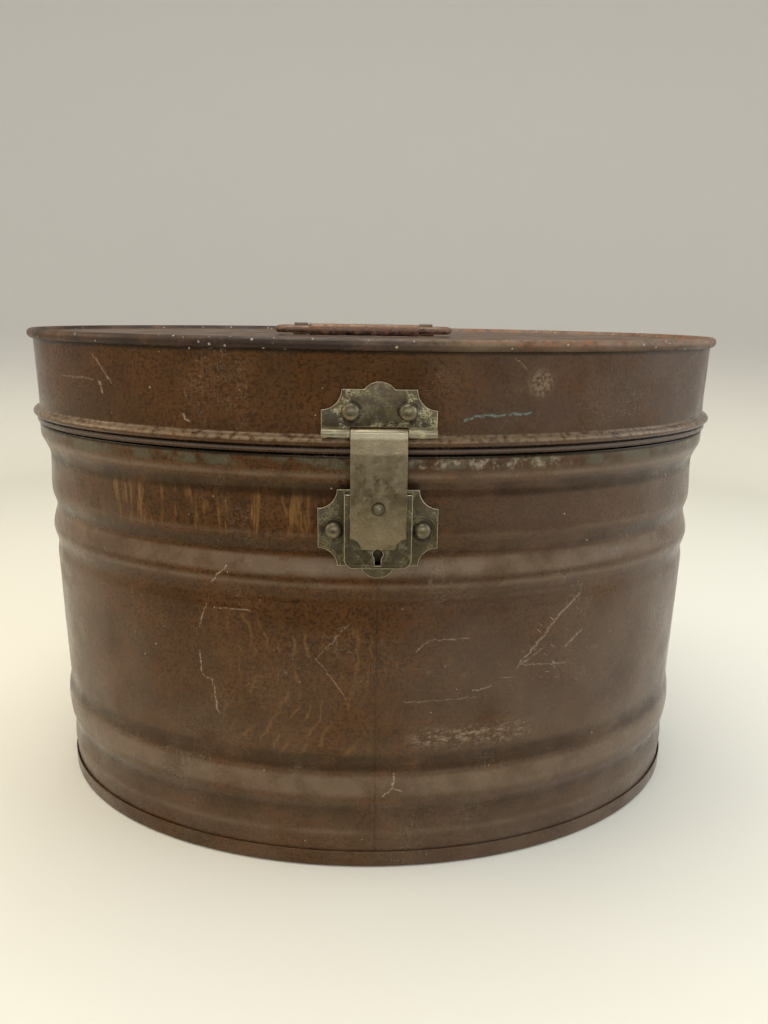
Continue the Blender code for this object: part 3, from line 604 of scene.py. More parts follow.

# Height in mm, and there a painted highlight where the tone is above 0 and a painted shade where it is below 0, in
# bands along the wall's swages.
WALL_LIGHT_AND_SHADE = (
    (0, 0), (17, 0), (20.5, 0.6), (24, 0), (34, -0.7), (40, 0), (45, 0.9), (53, 0.9), (58, -0.8),
    (64, -0.8), (68, 0), (148, 0), (151, -0.5), (156, 0.7), (159, 0), (162, 1), (168, 1), (172, -0.8),
    (177, -0.6), (180, 0.5), (183, 0), (197, 0), (200, -1), (205, -0.8), (209, 0.8), (212, 0),
    (215, -0.5), (217, 0),
)
WALL_SCRATCHES = (
    (0.55, 0.9, ((-83, 143), (-87, 130))),
    (0.5, 0.8, ((-88, 116), (-87, 103), (-82, 101), (-79, 83))),
    (0.6, 0.9, ((-72, 163), (-80, 154))),
    (0.6, 0.6, ((-79, 141), (-61, 141))),
    (0.45, 0.5, ((-13, 137), (-29, 118), (-14, 97))),
    (0.9, 0.5, ((103, 145), (92, 135), (85, 126), (70, 109))),
    (0.9, 0.55, ((106, 125), (97, 117))),
    (0.6, 0.5, ((72, 111), (99, 108))),
    (0.6, 0.5, ((70, 109), (84, 118))),
    (0.5, 0.45, ((19, 122), (26, 128), (33, 128), (46, 128))),
    (0.5, 0.4, ((14, 95), (50, 96))),
    (0.6, 0.7, ((48, 99), (58, 101))),
    (0.8, 0.8, ((10, 56), (9, 48), (4, 43))),
    (0.8, 0.7, ((9, 48), (14, 46))),
)
LID_SCRATCHES = (
    (0.6, 0.7, ((-136, 260), (-126, 247))),
    (1.1, 0.6, ((-133, 247), (-132, 242))),
    (0.6, 0.45, ((-158, 248), (-137, 248))),
    (0.7, 0.8, ((-89, 235), (-88, 232), (-86, 231))),
    (0.5, 0.4, ((60, 262), (66, 257))),
)
LID_PAINT_MARK = (1.0, 0.8, ((38, 235), (44, 236.5), (69, 237.5)))
LID_PALE_SPOT = (73 * MM, -126 * MM, 251 * MM)
SWIRL_CENTRE = (-115 * MM, -100 * MM, 115 * MM)
SWIRL_RATE = 900


def varnish(name, gloss):
    """Mottled brown japan varnish."""
    look = Look(name, gloss)
    look.colour = look.mix(BROWN, RED_BROWN, look.patches(22, 0.35, 0.65, detail=4))
    look.mottle = look.patches(1.6, 0.46, 0.62, detail=4)
    look.layer(DARK, look.mottle, share=0.62)
    return look


def hairlines(look, gathering):
    """Fine pale scratches in all directions, gathered in patches."""
    lines = None
    for turn in ((9, 1, 2), (2, 1, 9), (6, 1, -6)):
        value = look.noise(26, detail=2, vector=look.stretched(*turn), wobble=0.6)
        line = look.ramp(look.math("ABSOLUTE", look.math("SUBTRACT", value, 0.5)), 0.0, 0.006, 1.0, 0.0)
        lines = line if lines is None else look.either(lines, line)
    return look.times(lines, look.patches(gathering, 0.52, 0.66))


def strokes(look, degrees, length, width, low):
    """Short parallel marks on the front, longer along an angle than across it, in mm."""
    inputs = {"Vector": look.place, "Angle": math.radians(degrees)}
    turned_place = look.new("ShaderNodeVectorRotate", inputs, rotation_type="Y_AXIS")
    scaled = look.vector("MULTIPLY", turned_place, (1 / length, 0, 1 / width))
    value = look.noise(1, detail=2, vector=scaled, wobble=0.3)
    return look.times(look.ramp(value, low, low + 0.05), look.front())


def worn_scratches(look, routes):
    return look.times(look.scratches(routes), look.patches(1.3, 0.36, 0.62, detail=5, rough=0.7), 0.8)


def finish_tin(look, marks=None, rough_low=0.20, rough_high=0.36):
    """Scratches, chips, roughness and relief that every varnished sheet shares."""
    lines = look.times(hairlines(look, 34), 0.22)
    chips = look.times(look.specks(7, 0.10, 0.08), 0.7)
    chips = look.either(chips, look.times(look.specks(3.1, 0.035, 0.11), 0.7))
    worn = look.either(lines, chips)
    if marks is not None:
        worn = look.either(worn, marks)
    look.layer(PALE, worn)
    look.put("Base Color", look.colour)
    rough = look.ramp(look.noise(16, detail=5), 0.3, 0.7, rough_low, rough_high)
    look.put("Roughness", look.math("ADD", rough, look.times(worn, 0.25)))
    peel = look.noise(1.1, detail=2)
    look.bump([(look.mottle, -0.03), (peel, 0.04), (look.noise(9), 0.18)])
    return look.material


def japanned_wall():
    look = varnish("japanned_wall", VARNISH_GLOSS)

    # Combed wood grain on the band between the shoulder and the upper swage, left of the lock.
    wavy = look.noise(17, detail=2, vector=look.stretched(3, 1, 0.5), wobble=0.8)
    fine = look.noise(8, detail=3, vector=look.stretched(7, 1, 0.8), wobble=0.6)
    streaks = look.times(look.ramp(wavy, 0.50, 0.64), look.ramp(fine, 0.30, 0.62))
    front = look.front()
    left = look.times(look.across(-145, -18, 8), front)
    look.layer(GRAIN, streaks, left, look.level(180, 202, 4), share=0.75)

    # Swirls of the same grain low on the left.
    away = look.away(SWIRL_CENTRE)
    away = look.math("ADD", away, look.times(look.noise(20), 18 * MM))
    rings = look.math("SINE", look.times(away, SWIRL_RATE))
    swirl = look.times(look.ramp(rings, 0.55, 1.0), look.patches(14, 0.45, 0.6),
                       look.across(-75, -4, 12), look.level(62, 140, 10))
    look.layer(GRAIN, swirl, front, share=0.38)

    # Grey dust and dulled varnish, and a painted reflection of the floor and the side lights, more towards the
    # floor, on the right and at the ends.
    low = look.fade(look.z, 160, 30, 0.0, 0.30)
    right = look.fade(look.x, -20, 120, 0.0, 0.20)
    ends = look.fade(look.math("ABSOLUTE", look.x), 100, 180, 0.0, 0.42)
    haze = look.math("ADD", look.math("ADD", low, right), ends)
    look.layer(DUST_AND_SHEEN, haze, look.patches(30, 0.2, 0.75, detail=5))
    cool = look.fade(look.x, -20, 60, 0.0, 0.42)
    look.layer(COOL_DUST_AND_SHEEN, cool, look.patches(40, 0.1, 0.6, detail=5))
    # Painted highlights on the swages' crests and painted shade in their grooves.
    tone = look.profile(look.z, WALL_LIGHT_AND_SHADE)
    uneven = look.patches(16, 0.15, 0.65, detail=5)
    look.layer(DUST_AND_SHEEN, look.ramp(tone, 0.5, 1.0), uneven, share=0.66)
    look.layer(DARK, look.ramp(tone, 0.5, 0.0), uneven, share=0.72)
    return look


def make_wall_look():
    look = japanned_wall()

    # Corroded metal showing on the rim under the lid, most of it on the right of the lock.
    rim = look.level(212.5, 218.5, 1.5)
    patch = look.times(rim, look.across(14, 88, 10), look.patches(3.2, 0.46, 0.66, **CORRODED))
    grey_rim = look.times(rim, look.patches(9, 0.4, 0.6, detail=4))
    look.layer(GREEN, grey_rim, share=0.35)
    look.layer(BARE_TIN, patch, share=0.75)
    # Painted shadow on the case just under the lid's lip.
    lid_shadow = look.ramp(look.z, STOP_TOP - 2.2 * MM, STOP_TOP - 0.8 * MM)
    look.layer(BLACK, lid_shadow, share=0.95)

    # A scuff above the lower swage, and finer marks that climb or lie level on the right.
    scuff = look.times(look.across(20, 78, 10), look.level(70, 79, 4),
                       look.patches(3, 0.42, 0.62, **CORRODED), strokes(look, 5, 7, 1.2, 0.44))
    look.layer(SCUFFED, scuff, share=0.85)
    climbing = look.times(strokes(look, -42, 9, 0.9, 0.66), look.across(66, 104, 12),
                          look.level(102, 140, 10))
    lying = look.times(strokes(look, -6, 12, 0.8, 0.68), look.across(50, 110, 16),
                       look.level(92, 114, 8))
    marks = worn_scratches(look, WALL_SCRATCHES)
    marks = look.either(marks, look.times(look.either(climbing, lying), 0.4))
    return finish_tin(look, marks)


def make_lid_look():
    look = varnish("japanned_lid", VARNISH_GLOSS)
    # Cool grey dust with a painted reflection of the side light, growing to the right.
    right = look.fade(look.x, -10, 70, 0.0, 0.5)
    look.layer(COOL_DUST_AND_SHEEN, right, look.patches(24, 0.15, 0.62, detail=6, rough=0.65))

    # Painted shadow under the rim, dust and bare metal on the bead with a painted highlight along its top, and
    # painted shade in its crease and under the lip.
    seam = look.ramp(look.z, RIM_BOTTOM - 2.2 * MM, RIM_BOTTOM - 0.4 * MM)
    look.layer(BLACK, seam, share=0.85)
    crown = look.band(look.z, BEAD_HEIGHT + 0.2 * MM, BEAD_HEIGHT + 3.2 * MM, 0.6 * MM)
    look.layer(TAN, crown, look.patches(3, 0.30, 0.6, detail=5), share=0.9)
    lip = look.band(look.z, LIP_BOTTOM + 1.2 * MM, BEAD_HEIGHT - 2.6 * MM, 0.3 * MM)
    look.layer(LIP_GREY, lip, share=0.6)
    crease = look.band(look.z, BEAD_HEIGHT - 3.2 * MM, BEAD_HEIGHT - 1.9 * MM, 0.4 * MM)
    under = look.ramp(look.z, LIP_BOTTOM + 1.0 * MM, LIP_BOTTOM + 0.3 * MM)
    look.layer(BLACK, look.either(crease, under), share=0.9)

    # A pale spot and a thin mark of green paint, both right of the hasp.
    front = look.front()
    spot = look.away(LID_PALE_SPOT)
    pale_spot = look.times(look.fade(spot, 3, 9, 1.0, 0.0), look.patches(1.6, 0.4, 0.6))
    look.layer(DUST_AND_SHEEN, pale_spot, front, share=0.9)
    paint = look.scratches((LID_PAINT_MARK,))
    look.layer(GREEN_PAINT, paint, look.patches(1.5, 0.35, 0.5))
    return finish_tin(look, worn_scratches(look, LID_SCRATCHES))


def make_top_look():
    """Lid top: varnish dulled by dust, with a rim worn to rust and darkened on its left by painted shade."""
    look = varnish("japanned_top", TOP_GLOSS)
    oval = look.oval()
    dust = look.times(look.ramp(oval, 0.5, 1.0, 0.25, 0.6), look.patches(34, 0.2, 0.75, detail=7, rough=0.65),
                      look.either(look.ramp(oval, 0.97, 0.99, 1.0, 0.0), look.fade(look.x, -60, 30)))
    look.layer(DUST_AND_SHEEN, dust)
    edge = look.ramp(oval, 0.985, 1.004)
    rim = look.times(edge, look.ramp(look.z, RIM_BOTTOM + 1.5 * MM, RIM_TOP - 1.5 * MM))
    worn = look.times(rim, look.patches(5, 0.34, 0.6, **CORRODED))
    look.layer(TAN, worn, look.fade(look.x, -80, 20, 0.15, 0.75))
    rust = look.times(look.fade(look.x, 0, 80), worn, look.patches(3, 0.45, 0.6))
    look.layer(RUST, rust, share=0.8)
    # Painted shade: the rim darker in blotches towards the left.
    rim_shade = look.times(edge, look.patches(28, 0.36, 0.58, detail=6), look.fade(look.x, 60, -20))
    look.layer(DARK, rim_shade, share=0.8)
    look.layer(PALE, edge, look.specks(2.4, 0.16, 0.3), share=0.7)
    return finish_tin(look, None, 0.42, 0.7)


def make_inside_look():
    """Inside of the tin: dull lacquer, with patches of rust spots."""
    look = Look("inside_lacquer", INSIDE_GLOSS)
    look.colour = look.mix(LACQUER, DULL_LACQUER, look.patches(26, 0.35, 0.65, detail=5))
    rust = look.times(look.patches(4, 0.55, 0.68, detail=6), look.patches(30, 0.45, 0.6))
    look.layer(RUST, rust, share=0.7)
    look.put("Base Color", look.colour)
    look.put("Roughness", look.ramp(look.noise(10, detail=4), 0.3, 0.7, 0.45, 0.7))
    look.bump([(look.noise(2), 0.05), (rust, -0.06)])
    return look.material


# Head radius and height of each kind of rivet, and about how wide the staple's stud is.
HASP_RIVET = (4.2 * MM, 2.9 * MM)
LOCK_RIVET = (4.0 * MM, 2.8 * MM)
LEAF_RIVET = (3.0 * MM, 1.6 * MM)
LOOP_RIVET = (2.2 * MM, 1.1 * MM)
STUD = 2.4 * MM
FRONT_RIVETS = (("hasp_plate_rivet_left", HASP_RIVET[0]), ("hasp_plate_rivet_right", HASP_RIVET[0]),
                ("lock_rivet_left", LOCK_RIVET[0]), ("lock_rivet_right", LOCK_RIVET[0]),
                ("hasp_staple", STUD))


def brass_look(name, metal, tarnish, crust_share, rough, curl_wear_and_highlight=0.0):
    """Aged brass: tarnish, a worn hinge curl that also carries a painted highlight, painted shade round the rivets
    and crusts of corrosion.
    """
    look = Look(name, BRASS_GLOSS)
    dark = look.patches(4.5, 0.40, 0.62, detail=6, rough=0.65)
    fine = look.patches(0.7, 0.45, 0.62, detail=3)
    look.colour = look.mix(metal, tarnish, look.times(dark, 0.8))
    look.layer(PITTED_BRASS, fine, share=0.22)
    # Worn brass on the hinge curl, which is also a painted highlight where the curl faces up.
    curl = look.band(look.z, HASP_AXIS.z - 2.0 * MM, HASP_AXIS.z + 2.5 * MM, 1.0 * MM)
    look.layer(WORN_AND_LIT_BRASS, curl, share=curl_wear_and_highlight)
    # Painted shade: a dark ring round each rivet head and the staple's stud.
    rings = []
    for node, radius in FRONT_RIVETS:
        low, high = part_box(node)
        middle = (low + high) / 2
        away = look.away((middle.x, 0, middle.z), look.stretched(1, 0, 1))
        rings.append(look.band(away, radius + 0.1 * MM, radius + 0.8 * MM, 0.4 * MM))
    look.layer(DARK, look.either(*rings), share=0.7)
    beside = look.fade(look.math("ABSOLUTE", look.x), 5, 15, 0.25, 1.0)
    near_pin = look.either(beside, look.ramp(look.z, HASP_AXIS.z + 7 * MM, HASP_AXIS.z + 3 * MM))
    crust = look.times(look.patches(5, 0.46, 0.60, detail=5), look.patches(0.8, 0.40, 0.55),
                       near_pin, crust_share)
    look.layer(BRASS_CRUST, crust)
    look.put("Base Color", look.colour)
    look.put("Metallic", look.ramp(look.either(look.times(dark, 0.55), crust), 0.0, 1.0, 0.95, 0.1))
    uneven = look.ramp(look.noise(3, detail=5), 0.3, 0.7, rough, rough + 0.2)
    look.put("Roughness", look.math("ADD", uneven, look.times(crust, 0.3)))
    brushed = look.noise(0.5, detail=2, vector=look.stretched(3, 1, 0.25))
    look.bump([(brushed, 0.01), (fine, -0.02), (crust, 0.04), (look.noise(6), 0.08)])
    return look.material


def make_steel_look(name, base, rust_share):
    look = Look(name, {"IOR": 1.5})
    rust = look.times(look.patches(3, 0.42, 0.62, detail=6, rough=0.65), rust_share)
    grain = look.patches(0.6, 0.4, 0.65, detail=4)
    rusty = look.mix(DARK_RUST, LIGHT_RUST, grain)
    look.colour = look.mix(base, rusty, rust)
    look.layer(DARK, look.patches(5, 0.55, 0.7, detail=4), share=0.6)
    look.put("Base Color", look.colour)
    look.put("Metallic", look.ramp(rust, 0.0, 1.0, 0.9, 0.0))
    look.put("Roughness", look.ramp(rust, 0.0, 1.0, 0.38, 0.8))
    look.bump([(grain, 0.05), (rust, 0.06)])
    return look.material


# ---- tin sheets ------------------------------------------------------------------------------
CASE_LINE = (
    (0.4, 1.2), (0.4, 11.0),                                      # inside the bottom flange
    (0.8, 20.0), (0.0, 32.5),                                     # low bead
    (1.6, 41.0), (2.1, 48.0), (1.5, 55.0), (0.0, 63.0),           # lower swage
    (0.0, 141.0), (-0.8, 148.0),                                  # plain wall
    (1.0, 158.0), (-1.8, 171.0), (-0.1, 180.0), (-1.1, 201.0),    # upper swage and the band
    (1.4, 208.5), (2.9, 212.5),                                   # shoulder
)


def smooth_wall(points, spacing):
    """Points at even heights on a smooth line through (out, height) points, with no overshoot."""
    out, height = np.array(points, float).T * MM
    step = np.diff(height)
    slope = np.diff(out) / step
    tangent = np.zeros(len(out))
    before, after = slope[:-1], slope[1:]
    steady = before * after > 0
    tangent[1:-1][steady] = (2 * before * after)[steady] / (before + after)[steady]
    rows = np.linspace(height[0], height[-1], round((height[-1] - height[0]) / spacing) + 1)
    at = np.clip(np.searchsorted(height, rows, "right") - 1, 0, len(step) - 1)
    t = (rows - height[at]) / step[at]
    value = (out[at] * (1 + 2 * t) * (1 - t) ** 2 + tangent[at] * step[at] * t * (1 - t) ** 2
             + out[at + 1] * t * t * (3 - 2 * t) + tangent[at + 1] * step[at] * t * t * (t - 1))
    return list(zip(value, rows))


def straight(start, end, spacing):
    count = max(1, round(math.dist(start, end) / spacing))
    return [tuple(point) for point in np.linspace(start, end, count + 1)]


def held(front_node, rear_node):
    """Where a sheet stays true: (centre x, half width, low, high, side) of its two fittings."""
    front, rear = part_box(front_node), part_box(rear_node)
    return ((0, front[1].x, front[0].z, front[1].z, -1), (0, rear[1].x, rear[0].z, rear[1].z, 1))


def smoothstep(value):
    value = min(max(value, 0.0), 1.0)
    return value * value * (3 - 2 * value)


def dent(x, y, z, still):
    """Hand-made unevenness of a tin sheet. Still holds it flat under fittings."""
    place = Vector((x, y, z))
    wide_size, wide_depth = 42 * MM, 0.26 * MM
    small_size, small_depth = 15 * MM, 0.09 * MM
    wide = noise.noise(place / wide_size + Vector((3.1, 7.7, 1.3)))
    small = noise.noise(place / small_size + Vector((9.4, 2.2, 5.8)))
    calm = 1.0
    for centre, half_x, low, high, side in still:
        beside = max(abs(x - centre) - half_x, low - z, z - high, 0 if side * y > 0 else 1)
        calm = min(calm, smoothstep(beside / (10 * MM)))
    return (wide_depth * wide + small_depth * small) * calm


def loft(line, angles, closed, still=(), tuck=None, dented=(0, 0)):
    """Carries a line of (out, height) points round the oval, as an open sheet.

    The sheet faces outwards where the line climbs. Tuck gives how far it lies behind itself
    at an angle, and dented the heights between which it is uneven.
    """
    line = np.array(line, float)
    along = np.gradient(line, axis=0)
    along /= np.maximum(np.linalg.norm(along, axis=1), 1e-9)[:, None]
    normal = np.stack([along[:, 1], -along[:, 0]], 1)
    verts = []
    for angle in angles:
        inset = tuck(angle) if tuck else 0.0
        cos, sin = math.cos(angle), math.sin(angle)
        for (out, height), (across, up) in zip(line, normal):
            x = (HALF_LENGTH + out) * cos
            y = (HALF_DEPTH + out) * sin
            push = -inset
            if dented[0] < height < dented[1]:
                edge = min(height - dented[0], dented[1] - height) / (8 * MM)
                push += dent(x, y, height, still) * smoothstep(edge)
            out += across * push
            verts.append(((HALF_LENGTH + out) * cos, (HALF_DEPTH + out) * sin + CENTRE_Y,
                          height + up * push))
    rows, columns = len(line), len(angles)
    faces = []
    for column in range(columns if closed else columns - 1):
        after = (column + 1) % columns
        for row in range(rows - 1):
            near, far = column * rows + row, after * rows + row
            faces.append((near, far, far + 1, near + 1))
    mesh = bpy.data.meshes.new("loft")
    mesh.from_pydata(verts, [], faces)
    bm = bmesh.new()
    bm.from_mesh(mesh)
    bmesh.ops.remove_doubles(bm, verts=bm.verts, dist=1e-6)
    bm.to_mesh(mesh)
    bm.free()
    return mesh


def full_turn():
    return list(np.linspace(0, 2 * math.pi, COLUMNS, endpoint=False))


def panel_rows(height, edge, spacing=7 * MM):
    """Rows of a flat panel from the oval's spine out to its edge."""
    return straight((-HALF_DEPTH, height), (edge, height), spacing)


def case_line():
    line = smooth_wall(CASE_LINE, ROW)
    line += straight((STOP_OUT, 212.9 * MM), (STOP_OUT, STOP_TOP - 0.9 * MM), 1.0 * MM)
    line += arc((STOP_OUT - 0.8 * MM, STOP_TOP - 0.8 * MM), 0.8 * MM, 0, 90, 4)[1:]
    line += arc((COLLAR_OUT + 0.5 * MM, STOP_TOP + 0.6 * MM), 0.5 * MM, 270, 180, 4)
    line += straight((COLLAR_OUT, STOP_TOP + 1.6 * MM), (COLLAR_OUT, COLLAR_TOP), 2 * MM)
    return line


def make_case(look, inside):
    line = case_line()
    still = held("lock_plate", "case_leaf")
    half = COLUMNS // 2
    front, rear = -math.pi / 2, math.pi / 2
    hair = 0.1 * MM / HALF_LENGTH
    lap, edge, joggle = (width * MM / HALF_LENGTH for width in (6.0, 0.2, 2.4))
    left_angles = list(np.linspace(rear + hair, rear + math.pi - hair, half + 1))
    right_angles = [front - lap, front - lap / 2, front + edge, front + edge + joggle / 2]
    right_angles += list(np.linspace(front + edge + joggle, rear - edge - joggle, half + 1))
    right_angles += [rear - edge - joggle / 2, rear - edge, rear + lap / 2, rear + lap]

    def tuck(angle):
        inside_edge = min(angle - front, rear - angle)
        return (SHEET + 0.06 * MM) * (1 - smoothstep((inside_edge - edge) / joggle))

    dented = (12 * MM, STOP_TOP - 12 * MM)
    for side, angles, inset in (("left", left_angles, None), ("right", right_angles, tuck)):
        mesh = loft(line, angles, False, still, inset, dented)
        solidify(add_piece(f"case_sheet_{side}", mesh, (look, inside), TIN))


def make_pan(look, inside):
    corner = 1.6 * MM
    line = panel_rows(0.5 * MM, -9 * MM)
    line += [(-7 * MM, 0.25 * MM), (-5 * MM, 0), (-2.5 * MM, 0)]
    line += arc((FLANGE_OUT - corner, corner), corner, 270, 360, 6)
    line += straight((FLANGE_OUT, corner + 0.5 * MM), (FLANGE_OUT, FLANGE_TOP - 0.5 * MM), 1.5 * MM)
    line += arc((FLANGE_OUT - 0.4 * MM, FLANGE_TOP - 0.4 * MM), 0.4 * MM, 20, 90, 3)
    solidify(add_piece("bottom_pan", loft(line, full_turn(), True), (look, inside), TIN))


def make_lid_band(look, inside):
    hem = LIP_OUT - 1.6 * MM
    line = [(hem, LIP_BOTTOM + 2.6 * MM), (hem, LIP_BOTTOM + 1.4 * MM)]
    line += arc((LIP_OUT - 0.8 * MM, LIP_BOTTOM + 0.8 * MM), 0.8 * MM, 180, 360, 8)
    line += arc((LIP_OUT - 0.4 * MM, LIP_BOTTOM + 2.3 * MM), 0.4 * MM, 0, 60, 2)
    bead = (BEAD_OUT - LID_OUT, 2.3 * MM)
    line += arc((LID_OUT, BEAD_HEIGHT), bead, -72, 78, 16)
    low = BEAD_HEIGHT + 3.0 * MM
    line += straight((LID_OUT, low), (LID_OUT, RIM_BOTTOM + 0.4 * MM), 2 * MM)
    line += arc((LID_OUT + 0.8 * MM, RIM_BOTTOM + 0.9 * MM), 0.8 * MM, 180, 90, 3)
    line.append((RIM_OUT - 1.6 * MM, RIM_BOTTOM + 1.7 * MM))
    dented = (low, RIM_BOTTOM - 1 * MM)
    mesh = loft(line, full_turn(), True, held("hasp_plate", "lid_leaf"), None, dented)
    solidify(add_piece("lid_band", mesh, (look, inside), TIN))


def make_lid_top(look, inside):
    """Panel with its edge folded down as a round seam over the band."""
    inner, outer = 0.2 * MM, RIM_OUT
    middle = (inner + outer) / 2
    wide = (outer - inner) / 2
    tall = (RIM_TOP - RIM_BOTTOM) / 2
    line = [(LID_OUT + 0.5 * MM, RIM_BOTTOM + 0.15 * MM), (middle + 0.6 * MM, RIM_BOTTOM)]
    line += arc((middle, RIM_BOTTOM + tall), (wide, tall), -60, 150, 20)
    line += [(-0.2 * MM, PANEL_TOP + 0.3 * MM), (-1.2 * MM, PANEL_TOP)]
    line += panel_rows(PANEL_TOP, -5 * MM)[::-1]
    solidify(add_piece("lid_top", loft(line, full_turn(), True), (look, inside), TIN))


# ---- lock ------------------------------------------------------------------------------------
HASP_LOW, HASP_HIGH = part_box("hasp")
PLATE_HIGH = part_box("hasp_plate")[1]
LOCK_LOW, LOCK_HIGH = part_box("lock_plate")
CASE_LOW, CASE_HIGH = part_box("lock_case")
HASP_AXIS = AXIS["hasp_hinge"]
KNUCKLE = 2.1 * MM
PLATE = 1.0 * MM
STRAP = 1.2 * MM
PIN_ROOM = 1.15 * MM
HINGE_BACK = HASP_AXIS.y + KNUCKLE
PLATE_FRONT = HINGE_BACK - PLATE


def scalloped(half, low, high, corner, low_corner, crown=None, lobe=None):
    """Plate outline with concave corners. Crown and lobe are (half width, rise)."""
    points = []
    points += arc((-half, low), low_corner, 90, 0, 10) if low_corner else [(-half, low)]
    points += bulge(*lobe, low, -1) if lobe else []
    points += arc((half, low), low_corner, 180, 90, 10) if low_corner else [(half, low)]
    points += arc((half, high), corner, 270, 180, 10)
    points += bulge(*crown, high, 1)[::-1] if crown else []
    points += arc((-half, high), corner, 0, -90, 10)
    return points


def dome_rivet(node, direction, size, look, slot):
    """Hand-set rivet: a domed head, a shank and a clenched tail, placed by its CAD node."""
    head, height = size
    low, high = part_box(node)
    direction = Vector(direction)
    middle = (low + high) / 2
    reach = abs((high - low).dot(direction))
    front = middle + direction * (reach / 2 - height)
    shank, tail = head * 0.33, head * 0.55
    end = height - reach
    profile = [(0, end), (tail, end), (tail, end + SHEET), (shank, end + SHEET), (shank, 0), (head * 0.97, 0)]
    for degrees in range(6, 91, 12):
        angle = math.radians(degrees)
        profile.append((head * math.cos(angle), height * math.sin(angle)))
    profile.append((0, height))
    piece = add_piece(node, turned(profile, front, direction, 48), (look,), slot)
    return settle(piece, 40)


def make_hasp_plate(look, edge):
    crown, corner = (6.7 * MM, 3.4 * MM), 9.0 * MM
    half, top = PLATE_HIGH.x, PLATE_HIGH.z - crown[1]
    outline = scalloped(half, HASP_AXIS.z, top, corner, 0, crown)
    plate = add_piece("hasp_plate", prism(outline, PLATE_FRONT, HINGE_BACK, "front"), (look, edge), BRASS)
    curl = arc((HASP_AXIS.y, HASP_AXIS.z), KNUCKLE, 0, -295, 30)
    curl += arc((HASP_AXIS.y, HASP_AXIS.z), PIN_ROOM, -295, 0, 30)
    room = HASP_HIGH.x + GAP
    cut(plate, block((-room, HASP_AXIS.y - 2 * KNUCKLE, HASP_AXIS.z - 2 * KNUCKLE),
                     (room, HINGE_BACK + GAP, HASP_AXIS.z + KNUCKLE + 2 * GAP)))
    bevel(plate, 0.22 * MM)
    knuckles = []
    for low, high in ((-half, -room), (room, half)):
        knuckle = prism(curl, low + 0.05 * MM, high - 0.05 * MM, "side")
        knuckles.append(soft_edges(knuckle, 0.12 * MM))
    add_meshes(plate, (look, edge), *knuckles)


def make_hasp(look, edge):
    """Strap curled over the hinge pin, which bends down over the lid's bead onto the lock."""
    front, back = HASP_LOW.y, HASP_LOW.y + STRAP
    bend = HASP_AXIS.z - 9.0 * MM
    low = HASP_LOW.z
    start = (HASP_AXIS.y - KNUCKLE, HASP_AXIS.z - 0.6 * MM)
    near = 0.7 * MM
    slope = (front - start[0]) / (start[1] - bend)
    side = arc((HASP_AXIS.y, HASP_AXIS.z), KNUCKLE, 180, -110, 36)
    side += [(back + slope * near - 0.05 * MM, bend + near), (back, bend - near), (back, low)]
    side += [(front, low), (front, bend - near), (front - slope * near * 0.2, bend)]
    side += [(front - slope * near, bend + near), (start[0] + slope * near, start[1] - near)]
    strap = add_piece("hasp", prism(side, -HASP_HIGH.x, HASP_HIGH.x, "side"), (look, edge), BRASS)
    face = scalloped(HASP_HIGH.x, low, HASP_HIGH.z + PLATE, 0.3 * MM, 4.9 * MM)
    cut(strap, prism(face, front - PLATE, HASP_HIGH.y + PLATE, "front"), "INTERSECT")
    reach = Vector((PLATE_HIGH.x, 0, 0))
    cut(strap, rod(PIN_ROOM, HASP_AXIS - reach, HASP_AXIS + reach))
    bevel(strap, 0.2 * MM)


def make_staple(look):
    """Eye behind the hasp, and its shank peened over a washer in front."""
    low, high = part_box("hasp_staple")
    middle = (low.z + high.z) / 2
    front = HASP_LOW.y
    profile = [(0, 1.75 * MM), (0.75 * MM, 1.6 * MM), (1.25 * MM, 1.2 * MM), (1.45 * MM, 0.75 * MM),
               (2.3 * MM, 0.62 * MM), (2.45 * MM, 0.35 * MM), (2.45 * MM, 0), (0.9 * MM, 0),
               (0.9 * MM, -STRAP - GAP), (0, -STRAP - GAP)]
    stud = turned(profile[::-1], (0, front, middle), (0, -1, 0), 40)
    back = HASP_LOW.y + STRAP
    depth = high.y - back
    bend, window, end = 0.62, 0.71, 0.91
    eye = [(0, -3.5), (bend, -3.5), (end, -2.6), (end, 2.6), (bend, 3.5), (0, 3.5),
           (0, 2.4), (bend, 2.3), (window, 1.95), (window, -1.95), (bend, -2.3), (0, -2.4)]
    outline = [(back + GAP * 0.5 + across * depth * 1.05, middle + up * MM) for across, up in eye]
    loop = soft_edges(prism(outline, -0.6 * MM, 0.6 * MM, "side"), 0.15 * MM)
    settle(add_piece("hasp_staple", joined(stud, loop), (look,), BRASS), 40)


def make_lock_plate(look, edge):
    lobe, corner = (8.0 * MM, 6.0 * MM), 8.8 * MM
    low = LOCK_LOW.z + lobe[1] + 0.1 * MM
    outline = scalloped(LOCK_HIGH.x, low, LOCK_HIGH.z, corner, corner, None, lobe)
    plate = add_piece("lock_plate", prism(outline, LOCK_LOW.y, LOCK_HIGH.y, "front"), (look, edge), BRASS)
    bevel(plate, 0.22 * MM)
    section = arc((6.2 * MM, 0), (0.6 * MM, 0.28 * MM), 0, 360, 12)[:-1]
    rings = []
    for side in ("left", "right"):
        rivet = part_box(f"lock_rivet_{side}")
        centre = (rivet[0] + rivet[1]) / 2
        rings.append(turned(section, (centre.x, LOCK_LOW.y, centre.z), (0, -1, 0), 56, True))
    add_meshes(plate, (look, edge), *rings)


def cover_outline(inset):
    half, low, high = CASE_HIGH.x - inset, CASE_LOW.z + inset, CASE_HIGH.z - inset
    corner = 4.5 * MM - inset
    points = arc((-half + corner, low + corner), corner, 180, 270, 10)
    points += arc((half - corner, low + corner), corner, 270, 360, 10)
    return points + [(half, high), (-half, high)]


